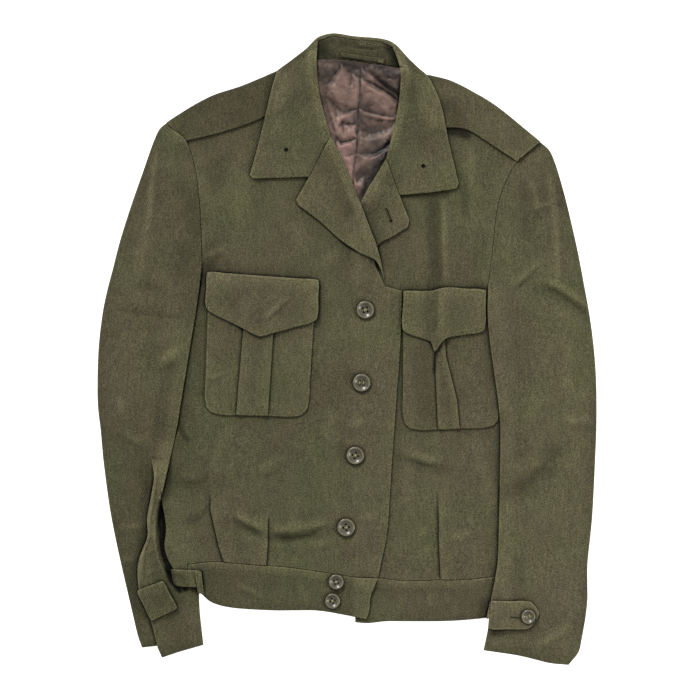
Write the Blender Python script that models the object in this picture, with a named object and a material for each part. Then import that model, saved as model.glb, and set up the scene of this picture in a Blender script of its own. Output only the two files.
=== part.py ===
"""A waist-length wool jacket, laid flat on its back with its front up.

All outlines are in millimetres in plan, +X to the left arm's side and +Y to the collar. Each cut piece
is a sheet of cloth with an outline of its own. One lattice of points is drawn through all the outlines,
every sheet takes the lattice's triangles inside its outline, and at each point it lies a small gap above
the sheets that it is said to lie on, so cloth that covers cloth follows it and never cuts into it.
A sleeve and the collar are two sheets, one above the other, joined along their folds.
"""

import math
from collections import namedtuple

import bmesh
import bpy
from mathutils import Vector
from mathutils.geometry import delaunay_2d_cdt, intersect_point_line

MM = 0.001

# Driving sizes, mm.
WOOL = 1.8            # a lined panel of the wool
STIFFENED = 2.2       # two plies with interlining: collar, lapels, straps and bands
SATIN = 0.8           # the lining
GAP = 0.4             # between one cloth and the cloth that it lies on
SEAM_INSET = 0.15     # each edge is drawn in by this, which leaves 0.3 mm at a seam
FOLD_WIDTH = 3.0      # solid cloth along the fold of a sleeve or of the collar
LATTICE_STEP = 34.0   # spacing of the lattice inside a panel
OUTLINE_STEP = 24.0   # longest straight piece on an outline
CLEAR_OF_OUTLINE = 12.0  # the lattice keeps this far from every outline
STEP_WIDTH = 1.6      # run of cloth that climbs a pleat's edge
PLEAT_RISE = 1.3      # a pocket's box pleat stands this far above its cloth
TUCK_RISE = 1.6       # a waist tuck's doubled cloth


def table(columns, *rows):
    row = namedtuple("Row", columns)
    return [row(*values) for values in rows]


# ---- Lines: each a smooth curve through the rows of its table, or straight where it has two ----

def divided(start, end, step):
    """The points of a straight line, without its end."""
    count = max(1, math.ceil(math.dist(start, end) / step - 0.01))
    return [tuple(a + (b - a) * i / count for a, b in zip(start, end)) for i in range(count)]


def curve(rows, step=OUTLINE_STEP):
    """A Catmull-Rom curve through the rows' x and y, as points at most a step apart."""
    knots = [(row.x, row.y) for row in rows]
    if len(knots) == 2:
        return divided(*knots, step) + [knots[1]]
    first, last = knots[0], knots[-1]
    before = (2 * first[0] - knots[1][0], 2 * first[1] - knots[1][1])
    after = (2 * last[0] - knots[-2][0], 2 * last[1] - knots[-2][1])
    ends = [before, *knots, after]
    line = []
    for a, b, c, d in zip(ends, ends[1:], ends[2:], ends[3:]):
        count = max(1, math.ceil(math.dist(b, c) / step))
        for i in range(count):
            t = i / count
            line.append(tuple(
                0.5 * (2 * q + (r - p) * t + (2 * p - 5 * q + 4 * r - s) * t**2 + (3 * q - p - 3 * r + s) * t**3)
                for p, q, r, s in zip(a, b, c, d)
            ))
    return line + [last]


def line(*rows, step=OUTLINE_STEP):
    return curve(table("x y", *rows), step)


def outline(*lines):
    """One closed outline from lines drawn end to end."""
    points = []
    for piece in lines:
        points += [p for p in piece if not points or math.dist(p, points[-1]) > 0.01]
    if math.dist(points[0], points[-1]) < 0.01:
        points.pop()
    return points


def rounded(corners, radius, step=OUTLINE_STEP):
    """A closed outline whose corners (x, y, share of the radius) are rounded with short arcs."""
    points = []
    for i, here in enumerate(corners):
        corner = Vector((here.x, here.y))
        arms = [Vector((c.x, c.y)) - corner for c in (corners[i - 1], corners[(i + 1) % len(corners)])]
        reach = radius * here.round
        if reach == 0:
            turn = [corner]
        else:
            start, end = (corner + arm.normalized() * reach for arm in arms)
            turn = [start * (1 - t)**2 + corner * 2 * t * (1 - t) + end * t**2 for t in (0, 0.35, 0.65, 1)]
        if points:
            points += divided(points[-1], tuple(turn[0]), step)[1:]
        points += [tuple(p) for p in turn]
    return points + divided(points[-1], points[0], step)[1:]


def beside(points, distance, overrun=4.0):
    """The line that runs beside an open line, to its left where the distance is positive."""
    ends = [Vector(p) for p in points]
    moved = []
    for i, here in enumerate(ends):
        along = (ends[min(i + 1, len(ends) - 1)] - ends[max(i - 1, 0)]).normalized()
        moved.append(here + Vector((-along.y, along.x)) * distance)
    moved[0] += (moved[0] - moved[1]).normalized() * overrun
    moved[-1] += (moved[-1] - moved[-2]).normalized() * overrun
    return [tuple(p) for p in moved]


# ---- Sleeves, in sections across them from the shoulder down ----

SLEEVE_RIGHT = table(
    "y outer inner",
    (249, -199, -199), (243, -206, -193), (229, -213, -177), (198, -224, -167), (158, -238, -162),
    (120, -250, -160), (89, -258, -160), (48, -268, -165), (-1, -274, -173), (-56, -275, -182),
    (-86, -272, -187), (-119, -269, -194),
)
SLEEVE_LEFT = table(
    "y outer inner",
    (228, 213, 213), (219, 223, 202), (206, 229, 187), (180, 237, 173), (153, 244, 165),
    (109, 254, 160), (67, 262, 155), (26, 269, 155), (-23, 274, 161), (-78, 275, 168),
    (-133, 273, 168), (-188, 270, 167), (-238, 265, 165), (-276, 265, 158), (-307, 261, 155),
    (-332, 256, 150),
)
ARMHOLE_ROWS = 7      # the sections that run down the armhole seam


def sleeve_lines(sections):
    """(armhole seam, inner fold, outer fold) of a sleeve, each from the shoulder down."""
    inner = table("x y", *((row.inner, row.y) for row in sections))
    outer = table("x y", *((row.outer, row.y) for row in sections))
    whole = curve(inner)
    underarm = (inner[ARMHOLE_ROWS - 1].x, inner[ARMHOLE_ROWS - 1].y)
    turn = min(range(len(whole)), key=lambda i: math.dist(whole[i], underarm))
    return whole[:turn + 1], whole[turn:], curve(outer)


ARMHOLE_RIGHT, INNER_FOLD_RIGHT, OUTER_FOLD_RIGHT = sleeve_lines(SLEEVE_RIGHT)
ARMHOLE_LEFT, INNER_FOLD_LEFT, OUTER_FOLD_LEFT = sleeve_lines(SLEEVE_LEFT)
CUFF_LEFT = line((256, -332), (244, -348), (223, -346), (190, -338), (150, -332))

# The right sleeve is twisted below the elbow: its vent stands open, and the front part lies over the rest.
BACK_PART_FOLD = line((-269, -119), (-263, -166), (-255, -210), (-241, -272), (-230, -318), (-226, -329))
BACK_PART_END = line((-226, -329), (-209, -327))
BACK_PART_HIDDEN = line((-209, -327), (-210, -276), (-210, -210), (-207, -119))
VENT_TOP = line((-207, -119), (-216, -119))
VENT_TOP_FREE = line((-194, -119), (-207, -119))
VENT_FOLD = line(
    (-216, -119), (-212, -140), (-220, -186), (-220, -208), (-229, -232), (-229, -265), (-216, -299),
    (-209, -327), (-204, -340),
)
VENT_CUFF = line((-204, -340), (-186, -334), (-158, -326))
VENT_FAR_FOLD = line((-158, -326), (-162, -289), (-163, -265))
VENT_SHOWN_EDGE = line((-163, -265), (-169, -257), (-193, -252), (-205, -234), (-209, -208), (-204, -164))
VENT_UNDER_BODY = line((-163, -265), (-173, -232), (-181, -200), (-190, -180), (-204, -164))
VENT_BESIDE_BODY = line((-204, -164), (-194, -119))

# ---- Body: its shoulders, sides, waist, hem and front edges ----

SHOULDER_RIGHT = line((-77, 306), (-118, 289), (-146, 280), (-173, 266), (-199, 249))
SHOULDER_LEFT = line((213, 228), (168, 265), (141, 282), (113, 296), (87, 302))
UNDER_COLLAR_RIGHT = line((-33, 321), (-45, 318), (-61, 309), (-77, 306))
UNDER_COLLAR_LEFT = line((87, 302), (78, 300), (67, 303), (58, 309))
NECK_SEAM = line((58, 309), (25, 314), (-7, 318), (-33, 321))
SIDE_UNDER_SLEEVE = line((-160, 89), (-177, 67), (-190, 32), (-196, -23), (-195, -60), (-187, -86))
SIDE_SHOWN = line((-204, -164), (-199, -199), (-201, -216), (-197, -232), (-190, -244), (-175, -249))
SIDE_RIGHT = (SIDE_UNDER_SLEEVE + INNER_FOLD_RIGHT[INNER_FOLD_RIGHT.index((-187, -86)) + 1:]
              + VENT_BESIDE_BODY[-2::-1] + SIDE_SHOWN[1:])
SIDE_LEFT = line((174, -249), (176, -166), (177, -78), (175, -1), (168, 48), (155, 67))
BAND_TOP_RIGHT = line((-175, -249), (-175, -237))
WAIST_RIGHT = line((-175, -237), (-146, -234), (-111, -237), (-68, -240), (-31, -245), (9, -251))
WAIST_OVERLAP = line((9, -251), (34, -252))
WAIST_LEFT = line((34, -252), (62, -255), (87, -255), (103, -254), (129, -254), (174, -249))
HEM_RIGHT = line((21, -297), (9, -295), (-8, -292), (-35, -288), (-79, -288), (-127, -285), (-151, -278), (-163, -267),
                 (-175, -249))
HEM_LEFT = line((9, -301), (21, -302), (42, -300), (86, -300), (124, -299), (173, -294))
BAND_END_RIGHT = line((34, -252), (26, -273), (24, -290), (21, -297))
BAND_END_LEFT = line((9, -251), (8, -276), (9, -301))
BAND_SIDE_LEFT = line((173, -294), (174, -249))
FRONT_EDGE_RIGHT = line((34, -252), (40, -224), (45, -194), (49, -133), (54, -62), (59, 10), (61, 64))
FRONT_EDGE_LEFT = line((9, -251), (9, -166), (10, -56), (11, 67))
BREAK = line((61, 64), (42, 69))

# ---- Neck: the roll edges, the collar's folded rim, its leaves and the lapels ----

ROLL_RIGHT_LAPEL = line((42, 69), (38, 94), (33, 113), (15, 160), (-3, 205), (-18, 234))
ROLL_RIGHT_LEAF = line((-18, 234), (-30, 280), (-33, 311), (-33, 321), (-32, 339))
ROLL_LEFT_LAPEL = line((43, 210), (30, 188), (15, 160), (10, 120), (11, 67))
ROLL_LEFT_LEAF = line((50, 332), (58, 309), (58, 283), (53, 250), (43, 210))
COLLAR_RIM = line((-77, 306), (-45, 331), (-33, 343), (-15, 348), (6, 345), (38, 342), (53, 336), (69, 319),
                  (87, 302), step=12)
COLLAR_RIM_INSIDE = line((-32, 339), (-15, 344), (5, 341), (37, 338), (50, 332), step=12)
FALL_EDGE = line((87, 302), (58, 287), (6, 280), (-52, 288), (-77, 306))
LEAF_RIGHT_OUTER = line((-77, 306), (-84, 282), (-90, 256), (-98, 224), (-107, 191))
LEAF_RIGHT_BOTTOM = line((-104, 187), (-74, 188), (-42, 189))
LEAF_LEFT_OUTER = line((123, 182), (111, 233), (105, 263), (98, 283), (87, 302))
LEAF_LEFT_BOTTOM = line((58, 169), (91, 172), (120, 176))
GORGE_RIGHT = line((-42, 189), (-18, 234))
GORGE_LEFT = line((43, 210), (58, 169))
LAPEL_RIGHT_TIP = line((-42, 189), (-56, 164))
LAPEL_RIGHT_EDGE = line((-54, 158), (-30, 140), (-8, 120), (11, 107), (30, 98), (37, 87), (42, 69))
LAPEL_LEFT_TIP = line((58, 169), (69, 141))
LAPEL_LEFT_EDGE = line((67, 134), (51, 124), (34, 114), (21, 96), (11, 67))
STAND = outline(
    line((-37, 318), (-38, 330), (-32, 339)), COLLAR_RIM_INSIDE, line((50, 332), (62, 320), (63, 309)),
    line((63, 309), (25, 314), (-7, 318), (-37, 318)),
)
LINING_SHOWN = line((63, 309), (64, 279), (58, 246), (50, 213), (34, 182), (15, 151), (-2, 180), (-21, 219),
                    (-36, 274), (-37, 318))
HANGER_LOOP = line((-7, 324), (41, 317))
HANGER_WIDTH = 5.0

# ---- What is sewn on: each table gives corners, with the share of the rounding at each ----

CORNERS = "x y round"
POCKET_RIGHT = table(CORNERS, (-152, 78, 0.2), (-34, 72, 0.2), (-43, -75, 1), (-157, -72, 1))
POCKET_LEFT = table(CORNERS, (62, 59, 0.2), (155, 62, 0.2), (169, -86, 1), (61, -90, 1))
POCKET_ROUND = 18.0
FLAP_RIGHT = table(CORNERS, (-154, 85, 0.2), (-31, 76, 0.2), (-32, 31, 1), (-96, 13, 0.5), (-156, 43, 1))
FLAP_LEFT = table(CORNERS, (62, 64, 0.2), (90, 64, 0), (110, 68, 0), (153, 65, 0.2), (152, 19, 1),
                  (108, 12, 0.8), (96, -4, 0.2), (92, 8, 0.3), (60, 19, 1))
FLAP_ROUND = 7.0
EPAULETTE_RIGHT = outline(
    line((-177, 229), (-146, 236), (-113, 246), (-90, 256), (-69, 270)),
    line((-69, 270), (-62, 290), (-77, 306)), SHOULDER_RIGHT,
    ARMHOLE_RIGHT[:ARMHOLE_RIGHT.index((-177, 229)) + 1],
)
EPAULETTE_LEFT = outline(
    line((187, 206), (152, 229), (132, 241)), line((132, 241), (91, 243)),
    line((91, 243), (80, 272), (87, 302)), SHOULDER_LEFT[::-1],
    ARMHOLE_LEFT[:ARMHOLE_LEFT.index((187, 206)) + 1],
)
TAB_LEFT = table(CORNERS, (157, -276, 0), (202, -277, 0.5), (213, -290, 1), (201, -308, 1), (155, -308, 0.5),
                 (152, -300, 0.5))
TAB_RIGHT = table(CORNERS, (-231, -265, 0.3), (-202, -254, 0.3), (-186, -285, 0.3), (-215, -299, 0.3),
                  (-222, -285, 0))
TAB_ROUND = 6.0
WAIST_STRAP = table(CORNERS, (-194, -242, 0), (-162, -243, 0), (-161, -262, 0), (-191, -261, 1))
STRAP_KEEPER = table(CORNERS, (-167, -244, 0), (-160, -244, 0), (-157, -269, 0), (-164, -269, 0))

# Pleats and tucks: the cloth stands up by the rise between the two edges, or to one side of one edge.
PLEATS = table(
    "sheet left right rise",
    ("pocket_right", line((-112, 43), (-122, -71)), line((-79, 43), (-87, -74)), PLEAT_RISE),
    ("pocket_left", line((98, 32), (97, -23), (100, -88)), line((106, 32), (109, -9), (121, -56), (124, -88)),
     PLEAT_RISE),
)
TUCKS = table(
    "sheet edge width rise",
    ("front_right", line((-150, -163), (-150, -178), (-141, -218), (-135, -233)), 22, TUCK_RISE),
    ("front_right", line((-87, -166), (-87, -216), (-89, -236)), -20, TUCK_RISE),
    ("front_left", line((100, -166), (101, -210), (103, -252)), 22, TUCK_RISE),
)

# Large folds: a soft ridge of air under a sheet, from one point to another.
FOLDS = table(
    "sheet x1 y1 x2 y2 width height",
    ("front_right", -120, 230, -130, 110, 26, 2.2),
    ("front_right", -110, -180, -15, -178, 16, 2.0),
    ("front_right", -60, 150, -50, 90, 24, 1.4),
    ("front_right", -165, -120, -140, -200, 18, 1.6),
    ("front_left", 105, 170, 100, 80, 14, 2.0),
    ("front_left", 135, 190, 130, 100, 18, 1.8),
    ("front_left", 60, -118, 110, -130, 14, 1.4),
    ("sleeve_right", -205, 230, -222, 120, 18, 1.2),
    ("sleeve_right", -222, 30, -205, -60, 20, 0.8),
    ("sleeve_left", 215, 190, 222, 60, 20, 1.2),
    ("sleeve_left", 210, -130, 255, -80, 18, 0.8),
    ("lining_back", -12, 300, 40, 290, 12, 1.2),
    ("lining_back", 0, 268, 42, 262, 12, 1.2),
    ("lining_back", -8, 232, 30, 222, 12, 1.2),
)

# ---- Sheets: every piece of cloth, with what it lies on ----

Sheet = namedtuple("Sheet", "name thickness crown lies_on outline")


BODY = outline(NECK_SEAM, UNDER_COLLAR_RIGHT, SHOULDER_RIGHT, ARMHOLE_RIGHT, SIDE_RIGHT, BAND_TOP_RIGHT,
               WAIST_RIGHT, WAIST_OVERLAP, WAIST_LEFT, SIDE_LEFT, ARMHOLE_LEFT[::-1], SHOULDER_LEFT,
               UNDER_COLLAR_LEFT)
FRONT_RIGHT = outline(ROLL_RIGHT_LAPEL, ROLL_RIGHT_LEAF[:-2], UNDER_COLLAR_RIGHT, SHOULDER_RIGHT,
                      ARMHOLE_RIGHT, SIDE_RIGHT, BAND_TOP_RIGHT, WAIST_RIGHT, WAIST_OVERLAP,
                      FRONT_EDGE_RIGHT, BREAK)
FRONT_LEFT = outline(WAIST_OVERLAP, WAIST_LEFT, SIDE_LEFT, ARMHOLE_LEFT[::-1], SHOULDER_LEFT,
                     UNDER_COLLAR_LEFT, ROLL_LEFT_LEAF[2:], ROLL_LEFT_LAPEL, FRONT_EDGE_LEFT[::-1])
SLEEVE_RIGHT_TUBE = outline(ARMHOLE_RIGHT, INNER_FOLD_RIGHT, VENT_TOP_FREE, BACK_PART_HIDDEN[::-1],
                            BACK_PART_END[::-1], BACK_PART_FOLD[::-1], OUTER_FOLD_RIGHT[::-1])
SLEEVE_LEFT_TUBE = outline(ARMHOLE_LEFT, INNER_FOLD_LEFT, CUFF_LEFT[::-1], OUTER_FOLD_LEFT[::-1])
LEAVES = outline(COLLAR_RIM, LEAF_LEFT_OUTER[::-1], LEAF_LEFT_BOTTOM[::-1], GORGE_LEFT[::-1],
                 ROLL_LEFT_LEAF[::-1], COLLAR_RIM_INSIDE[::-1], ROLL_RIGHT_LEAF[::-1], GORGE_RIGHT[::-1],
                 LEAF_RIGHT_BOTTOM[::-1], LEAF_RIGHT_OUTER[::-1])
BACK_LAYERS = ["collar_fall", "vent_under", "vent_right", "back", "waistband_back", "lining_back"]
FRONTS = BACK_LAYERS + ["front_left", "waistband_left", "front_right", "waistband_right"]
SHEETS = [
    Sheet("collar_fall", STIFFENED, 0, [], outline(COLLAR_RIM, FALL_EDGE)),
    Sheet("vent_under", WOOL, 0, ["sleeve_right"],
          outline(VENT_TOP_FREE, VENT_TOP, VENT_FOLD, VENT_CUFF, VENT_FAR_FOLD, VENT_UNDER_BODY,
                  VENT_BESIDE_BODY)),
    Sheet("vent_right", WOOL, 1.2, ["vent_under"],
          outline(VENT_TOP_FREE, VENT_TOP, VENT_FOLD, VENT_CUFF, VENT_FAR_FOLD, VENT_SHOWN_EDGE,
                  VENT_BESIDE_BODY)),
    Sheet("back", WOOL, 0, ["collar_fall", "vent_under", "vent_right"], BODY),
    Sheet("waistband_back", STIFFENED, 0, ["vent_under", "vent_right"],
          outline(WAIST_RIGHT, WAIST_OVERLAP, WAIST_LEFT, BAND_SIDE_LEFT[::-1], HEM_LEFT[::-1],
                  HEM_RIGHT[HEM_RIGHT.index((9, -295)):], BAND_TOP_RIGHT)),
    Sheet("lining_back", SATIN, 0, ["collar_fall", "back"],
          outline(line((-37, 318), (-7, 318), (25, 314), (63, 309)), LINING_SHOWN)),
    Sheet("collar_stand", STIFFENED, 0, ["collar_fall", "back", "lining_back"], STAND),
    Sheet("hanger_loop", SATIN, 0, ["collar_fall", "back", "collar_stand", "lining_back"],
          outline(beside(HANGER_LOOP, HANGER_WIDTH / 2, 0), beside(HANGER_LOOP, -HANGER_WIDTH / 2, 0)[::-1])),
    Sheet("front_left", WOOL, 2.2, BACK_LAYERS + ["collar_stand"], FRONT_LEFT),
    Sheet("waistband_left", STIFFENED, 0.4, BACK_LAYERS,
          outline(BAND_END_LEFT, HEM_LEFT, BAND_SIDE_LEFT, WAIST_LEFT[::-1], WAIST_OVERLAP[::-1])),
    Sheet("front_right", WOOL, 2.2, BACK_LAYERS + ["collar_stand", "front_left", "lapel_left"], FRONT_RIGHT),
    Sheet("waistband_right", STIFFENED, 0.4, BACK_LAYERS + ["waistband_left"],
          outline(WAIST_RIGHT, WAIST_OVERLAP, BAND_END_RIGHT, HEM_RIGHT, BAND_TOP_RIGHT)),
    Sheet("waist_strap_right", STIFFENED, 0, FRONTS, rounded(WAIST_STRAP, TAB_ROUND)),
    Sheet("strap_keeper_right", WOOL, 0, FRONTS + ["waist_strap_right"], rounded(STRAP_KEEPER, 0)),
    Sheet("pocket_right", WOOL, 0.3, ["front_right"], rounded(POCKET_RIGHT, POCKET_ROUND)),
    Sheet("pocket_left", WOOL, 0.3, ["front_left"], rounded(POCKET_LEFT, POCKET_ROUND)),
    Sheet("flap_right", STIFFENED, 0.5, ["front_right", "pocket_right"], rounded(FLAP_RIGHT, FLAP_ROUND)),
    Sheet("flap_left", STIFFENED, 0.5, ["front_left", "pocket_left", "front_right"],
          rounded(FLAP_LEFT, FLAP_ROUND)),
    Sheet("epaulette_right", STIFFENED, 0.5, ["front_right"], EPAULETTE_RIGHT),
    Sheet("epaulette_left", STIFFENED, 1.0, ["front_left"], EPAULETTE_LEFT),
    Sheet("lapel_left", STIFFENED, 1.0, ["lining_back", "front_left"],
          outline(GORGE_LEFT, LAPEL_LEFT_TIP, LAPEL_LEFT_EDGE, ROLL_LEFT_LAPEL[::-1])),
    Sheet("lapel_right", STIFFENED, 1.0, ["lining_back", "front_left", "lapel_left", "front_right"],
          outline(GORGE_RIGHT[::-1], LAPEL_RIGHT_TIP, LAPEL_RIGHT_EDGE, ROLL_RIGHT_LAPEL)),
    Sheet("collar", STIFFENED, 1.0, FRONTS + ["collar_fall", "collar_stand", "epaulette_right",
                                              "epaulette_left"], LEAVES),
    Sheet("sleeve_right_under", WOOL, 0, FRONTS[3:] + ["epaulette_right"], SLEEVE_RIGHT_TUBE),
    Sheet("sleeve_right", WOOL, 2.8, ["sleeve_right_under"], SLEEVE_RIGHT_TUBE),
    Sheet("sleeve_left_under", WOOL, 0, FRONTS[3:] + ["epaulette_left", "pocket_left", "flap_left"],
          SLEEVE_LEFT_TUBE),
    Sheet("sleeve_left", WOOL, 2.8, ["sleeve_left_under"], SLEEVE_LEFT_TUBE),
    Sheet("cuff_tab_left", STIFFENED, 0, FRONTS + ["sleeve_left"], rounded(TAB_LEFT, TAB_ROUND)),
    Sheet("cuff_tab_right", STIFFENED, 0, ["sleeve_right", "vent_right"], rounded(TAB_RIGHT, TAB_ROUND)),
]
CROWN_REACH = 30.0    # a sheet's crown rises from its edge over this distance

# A node of two sheets: the lower, the upper, and the folds that join them.
Folded = namedtuple("Folded", "node lower upper folds")
FOLDED = [
    Folded("collar", "collar_fall", "collar", [COLLAR_RIM[2:-2]]),
    Folded("sleeve_right", "sleeve_right_under", "sleeve_right",
           [OUTER_FOLD_RIGHT + BACK_PART_FOLD[1:], INNER_FOLD_RIGHT]),
    Folded("sleeve_left", "sleeve_left_under", "sleeve_left", [OUTER_FOLD_LEFT, INNER_FOLD_LEFT]),
    Folded("sleeve_right_vent", "vent_under", "vent_right", [VENT_FOLD, VENT_FAR_FOLD]),
]

COLOURS = table(
    "name rgb roughness",
    ("wool", (0.085, 0.085, 0.045), 0.9),
    ("satin", (0.20, 0.13, 0.11), 0.4),
    ("button", (0.075, 0.065, 0.030), 0.35),
)
BUTTONS = table(
    "node x y diameter rests_on",
    ("button_front_1", 20, 43, 20, "front_right"), ("button_front_2", 16, -37, 20, "front_right"),
    ("button_front_3", 9, -117, 20, "front_right"), ("button_front_4", -1, -196, 20, "front_right"),
    ("button_waist_1", -12, -256, 17, "waistband_right"), ("button_waist_2", -16, -277, 17, "waistband_right"),
    ("button_cuff_left", 199, -294, 16, "cuff_tab_left"),
)
BUTTON_SIDES = 16
BUTTON_HOLE = 1.8     # each of a button's four holes, and half the space between their centres
# A button's turned profile as shares of its radius, up and outside from the centre of its face.
BUTTON_PROFILE = table("r z", (0.55, 1.9), (0.72, 3.2), (0.86, 3.4), (1.0, 2.4), (0.94, 0.9), (0.6, 0.0))


# ---- The lattice ----

def inside(point, loop):
    """Whether a point lies within a closed outline, by crossings."""
    x, y = point
    found = False
    for (ax, ay), (bx, by) in zip(loop, loop[1:] + loop[:1]):
        if (ay > y) != (by > y) and x < (bx - ax) * (y - ay) / (by - ay) + ax:
            found = not found
    return found


def away(point, points, closed=True):
    """Distance from a point to a line of points."""
    here = Vector(point)
    near = math.inf
    following = points[1:] + points[:1] if closed else points[1:]
    for a, b in zip(points, following):
        foot, share = intersect_point_line(here, Vector(a), Vector(b))
        foot = Vector(a) if share < 0 else Vector(b) if share > 1 else foot.to_2d()
        near = min(near, (foot.to_2d() - here).length)
    return near


def step_lines():
    """The lines at the foot and the head of each pleat's and tuck's edge."""
    for pleat in PLEATS:
        for edge in (pleat.left, pleat.right):
            yield beside(edge, STEP_WIDTH / 2, 0)
            yield beside(edge, -STEP_WIDTH / 2, 0)
    for tuck in TUCKS:
        yield beside(tuck.edge, STEP_WIDTH / 2, 0)
        yield beside(tuck.edge, -STEP_WIDTH / 2, 0)


def lattice():
    """The points and triangles of the plan, with an edge along every outline, fold and pleat."""
    points, edges = [], []

    def draw(path, closed):
        start = len(points)
        points.extend(Vector(p) for p in path)
        count = len(path)
        edges.extend((start + i, start + (i + 1) % count) for i in range(count if closed else count - 1))

    loops = [sheet.outline for sheet in SHEETS]
    for loop in loops:
        draw(loop, True)
    for piece in FOLDED:
        for fold in piece.folds:
            side = 1 if inside(beside(fold, FOLD_WIDTH, 0)[len(fold) // 2], outline_of(piece.upper)) else -1
            draw(beside(fold, side * FOLD_WIDTH), False)
    for path in step_lines():
        draw(path, False)
    drawn = [(points[a], points[b]) for a, b in edges]
    xs = [p.x for p in points]
    ys = [p.y for p in points]
    rows = int((max(ys) - min(ys)) / (LATTICE_STEP * 0.87)) + 1
    columns = int((max(xs) - min(xs)) / LATTICE_STEP) + 1
    for i in range(rows):
        for j in range(columns):
            here = Vector((min(xs) + (j + i % 2 / 2) * LATTICE_STEP, min(ys) + i * LATTICE_STEP * 0.87))
            if clear_of(here, drawn):
                points.append(here)
    result = delaunay_2d_cdt(points, edges, [], 0, 0.02)
    return [(p.x, p.y) for p in result[0]], [tuple(face) for face in result[2]]


def clear_of(point, segments):
    for a, b in segments:
        if min(a.x, b.x) - CLEAR_OF_OUTLINE < point.x < max(a.x, b.x) + CLEAR_OF_OUTLINE:
            foot, share = intersect_point_line(point, a, b)
            foot = a if share < 0 else b if share > 1 else foot.to_2d()
            if (foot - point).length < CLEAR_OF_OUTLINE:
                return False
    return True


def outline_of(name):
    return next(sheet.outline for sheet in SHEETS if sheet.name == name)


# ---- Heights ----

def bump(share):
    """A soft ridge's height across it: 1 on its line, 0 from its width outward."""
    return (1 + math.cos(math.pi * min(share, 1.0))) / 2


def air_under(sheet, point):
    """How far the sheet stands above what it lies on, past the gap: its crown, folds, pleats and tucks."""
    reach = min(away(point, sheet.outline) / CROWN_REACH, 1.0)
    air = sheet.crown * (1 - (1 - reach) ** 2)
    for fold in FOLDS:
        if fold.sheet == sheet.name:
            off = away(point, [(fold.x1, fold.y1), (fold.x2, fold.y2)], closed=False)
            air += fold.height * bump(off / fold.width) * min(reach * 3, 1)
    for pleat in PLEATS:
        if pleat.sheet == sheet.name and inside(point, pleat.left + pleat.right[::-1]):
            air += pleat.rise * min(away(point, [pleat.left[0], pleat.right[0]], closed=False) / 10, 1)
    for tuck in TUCKS:
        if tuck.sheet == sheet.name:
            band = tuck.edge + beside(tuck.edge, tuck.width, 0)[::-1]
            if inside(point, band):
                off = away(point, tuck.edge, closed=False) / abs(tuck.width)
                below_top = min(away(point, [tuck.edge[0], band[-1]], closed=False) / 30, 1)
                air += tuck.rise * (1 - off) * below_top
    return air


class Plan:
    """The lattice, which triangles each sheet takes, and each sheet's height at each point."""

    def __init__(self):
        self.points, self.triangles = lattice()
        self.sheets = {sheet.name: sheet for sheet in SHEETS}
        centres = [tuple(sum(self.points[i][k] for i in t) / 3 for k in (0, 1)) for t in self.triangles]
        self.cover = {
            sheet.name: {n for n, centre in enumerate(centres) if inside(centre, sheet.outline)}
            for sheet in SHEETS
        }
        self.centres = centres
        self.around = {}
        for n, triangle in enumerate(self.triangles):
            for i in triangle:
                self.around.setdefault(i, set()).add(n)
        self.heights = {}

    def bottom(self, name, i):
        """The height of a sheet's underside at lattice point i."""
        key = (name, i)
        if key not in self.heights:
            sheet = self.sheets[name]
            here = self.around[i] & self.cover[name]
            floor = 0.0
            for other in sheet.lies_on:
                if here & self.cover[other]:
                    floor = max(floor, self.top(other, i) + GAP)
            self.heights[key] = floor + air_under(sheet, self.points[i])
        return self.heights[key]

    def top(self, name, i):
        return self.bottom(name, i) + self.sheets[name].thickness

    def drawn_in(self, name):
        """Where each point of a sheet's boundary goes when its edges are drawn in for the seam."""
        facing = {}
        edges = {}
        for n in self.cover[name]:
            for a, b in directed_edges(self.triangles[n]):
                edges[a, b] = n
        for a, b in edges:
            if (b, a) not in edges:
                along = (Vector(self.points[b]) - Vector(self.points[a])).normalized()
                for i in (a, b):
                    facing.setdefault(i, []).append(Vector((-along.y, along.x)))
        moved = {}
        for i, normals in facing.items():
            across = sum(normals, Vector((0, 0)))
            if across.length > 0.2:
                across.normalize()
                moved[i] = across * SEAM_INSET / max(across.dot(normals[0]), 0.4)
        return moved


def directed_edges(triangle):
    a, b, c = triangle
    return (a, b), (b, c), (c, a)


# ---- Solids ----

def solid(plan, node, levels, filled):
    """A closed mesh from named levels, lowest first, and the slabs between them that each triangle fills.

    levels: functions of a lattice point to its place, mm. filled: {triangle: set of slabs}.
    """
    mesh = bmesh.new()
    made = {}

    def corner(level, i):
        if (level, i) not in made:
            made[level, i] = mesh.verts.new(levels[level](i))
        return made[level, i]

    for n, slabs in filled.items():
        triangle = plan.triangles[n]
        for level in range(len(levels)):
            above, below = level in slabs, level - 1 in slabs
            if above and not below:
                mesh.faces.new([corner(level, i) for i in reversed(triangle)])
            elif below and not above:
                mesh.faces.new([corner(level, i) for i in triangle])
    beyond = {}
    for n in filled:
        for a, b in directed_edges(plan.triangles[n]):
            beyond[a, b] = n
    for (a, b), n in beyond.items():
        other = filled[beyond[b, a]] if (b, a) in beyond else set()
        for slab in filled[n] - other:
            low_a, low_b = corner(slab, a), corner(slab, b)
            high_a, high_b = corner(slab + 1, a), corner(slab + 1, b)
            mesh.faces.new([low_a, low_b, high_b, high_a])
    return made_object(node, mesh)


def made_object(node, mesh):
    data = bpy.data.meshes.new(node)
    mesh.to_mesh(data)
    mesh.free()
    thing = bpy.data.objects.new(node, data)
    bpy.context.collection.objects.link(thing)
    return thing


def level_of(plan, name, moved, height):
    def place(i):
        x, y = Vector(plan.points[i]) + moved.get(i, Vector((0, 0)))
        return Vector((x, y, height(name, i))) * MM
    return place


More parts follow.
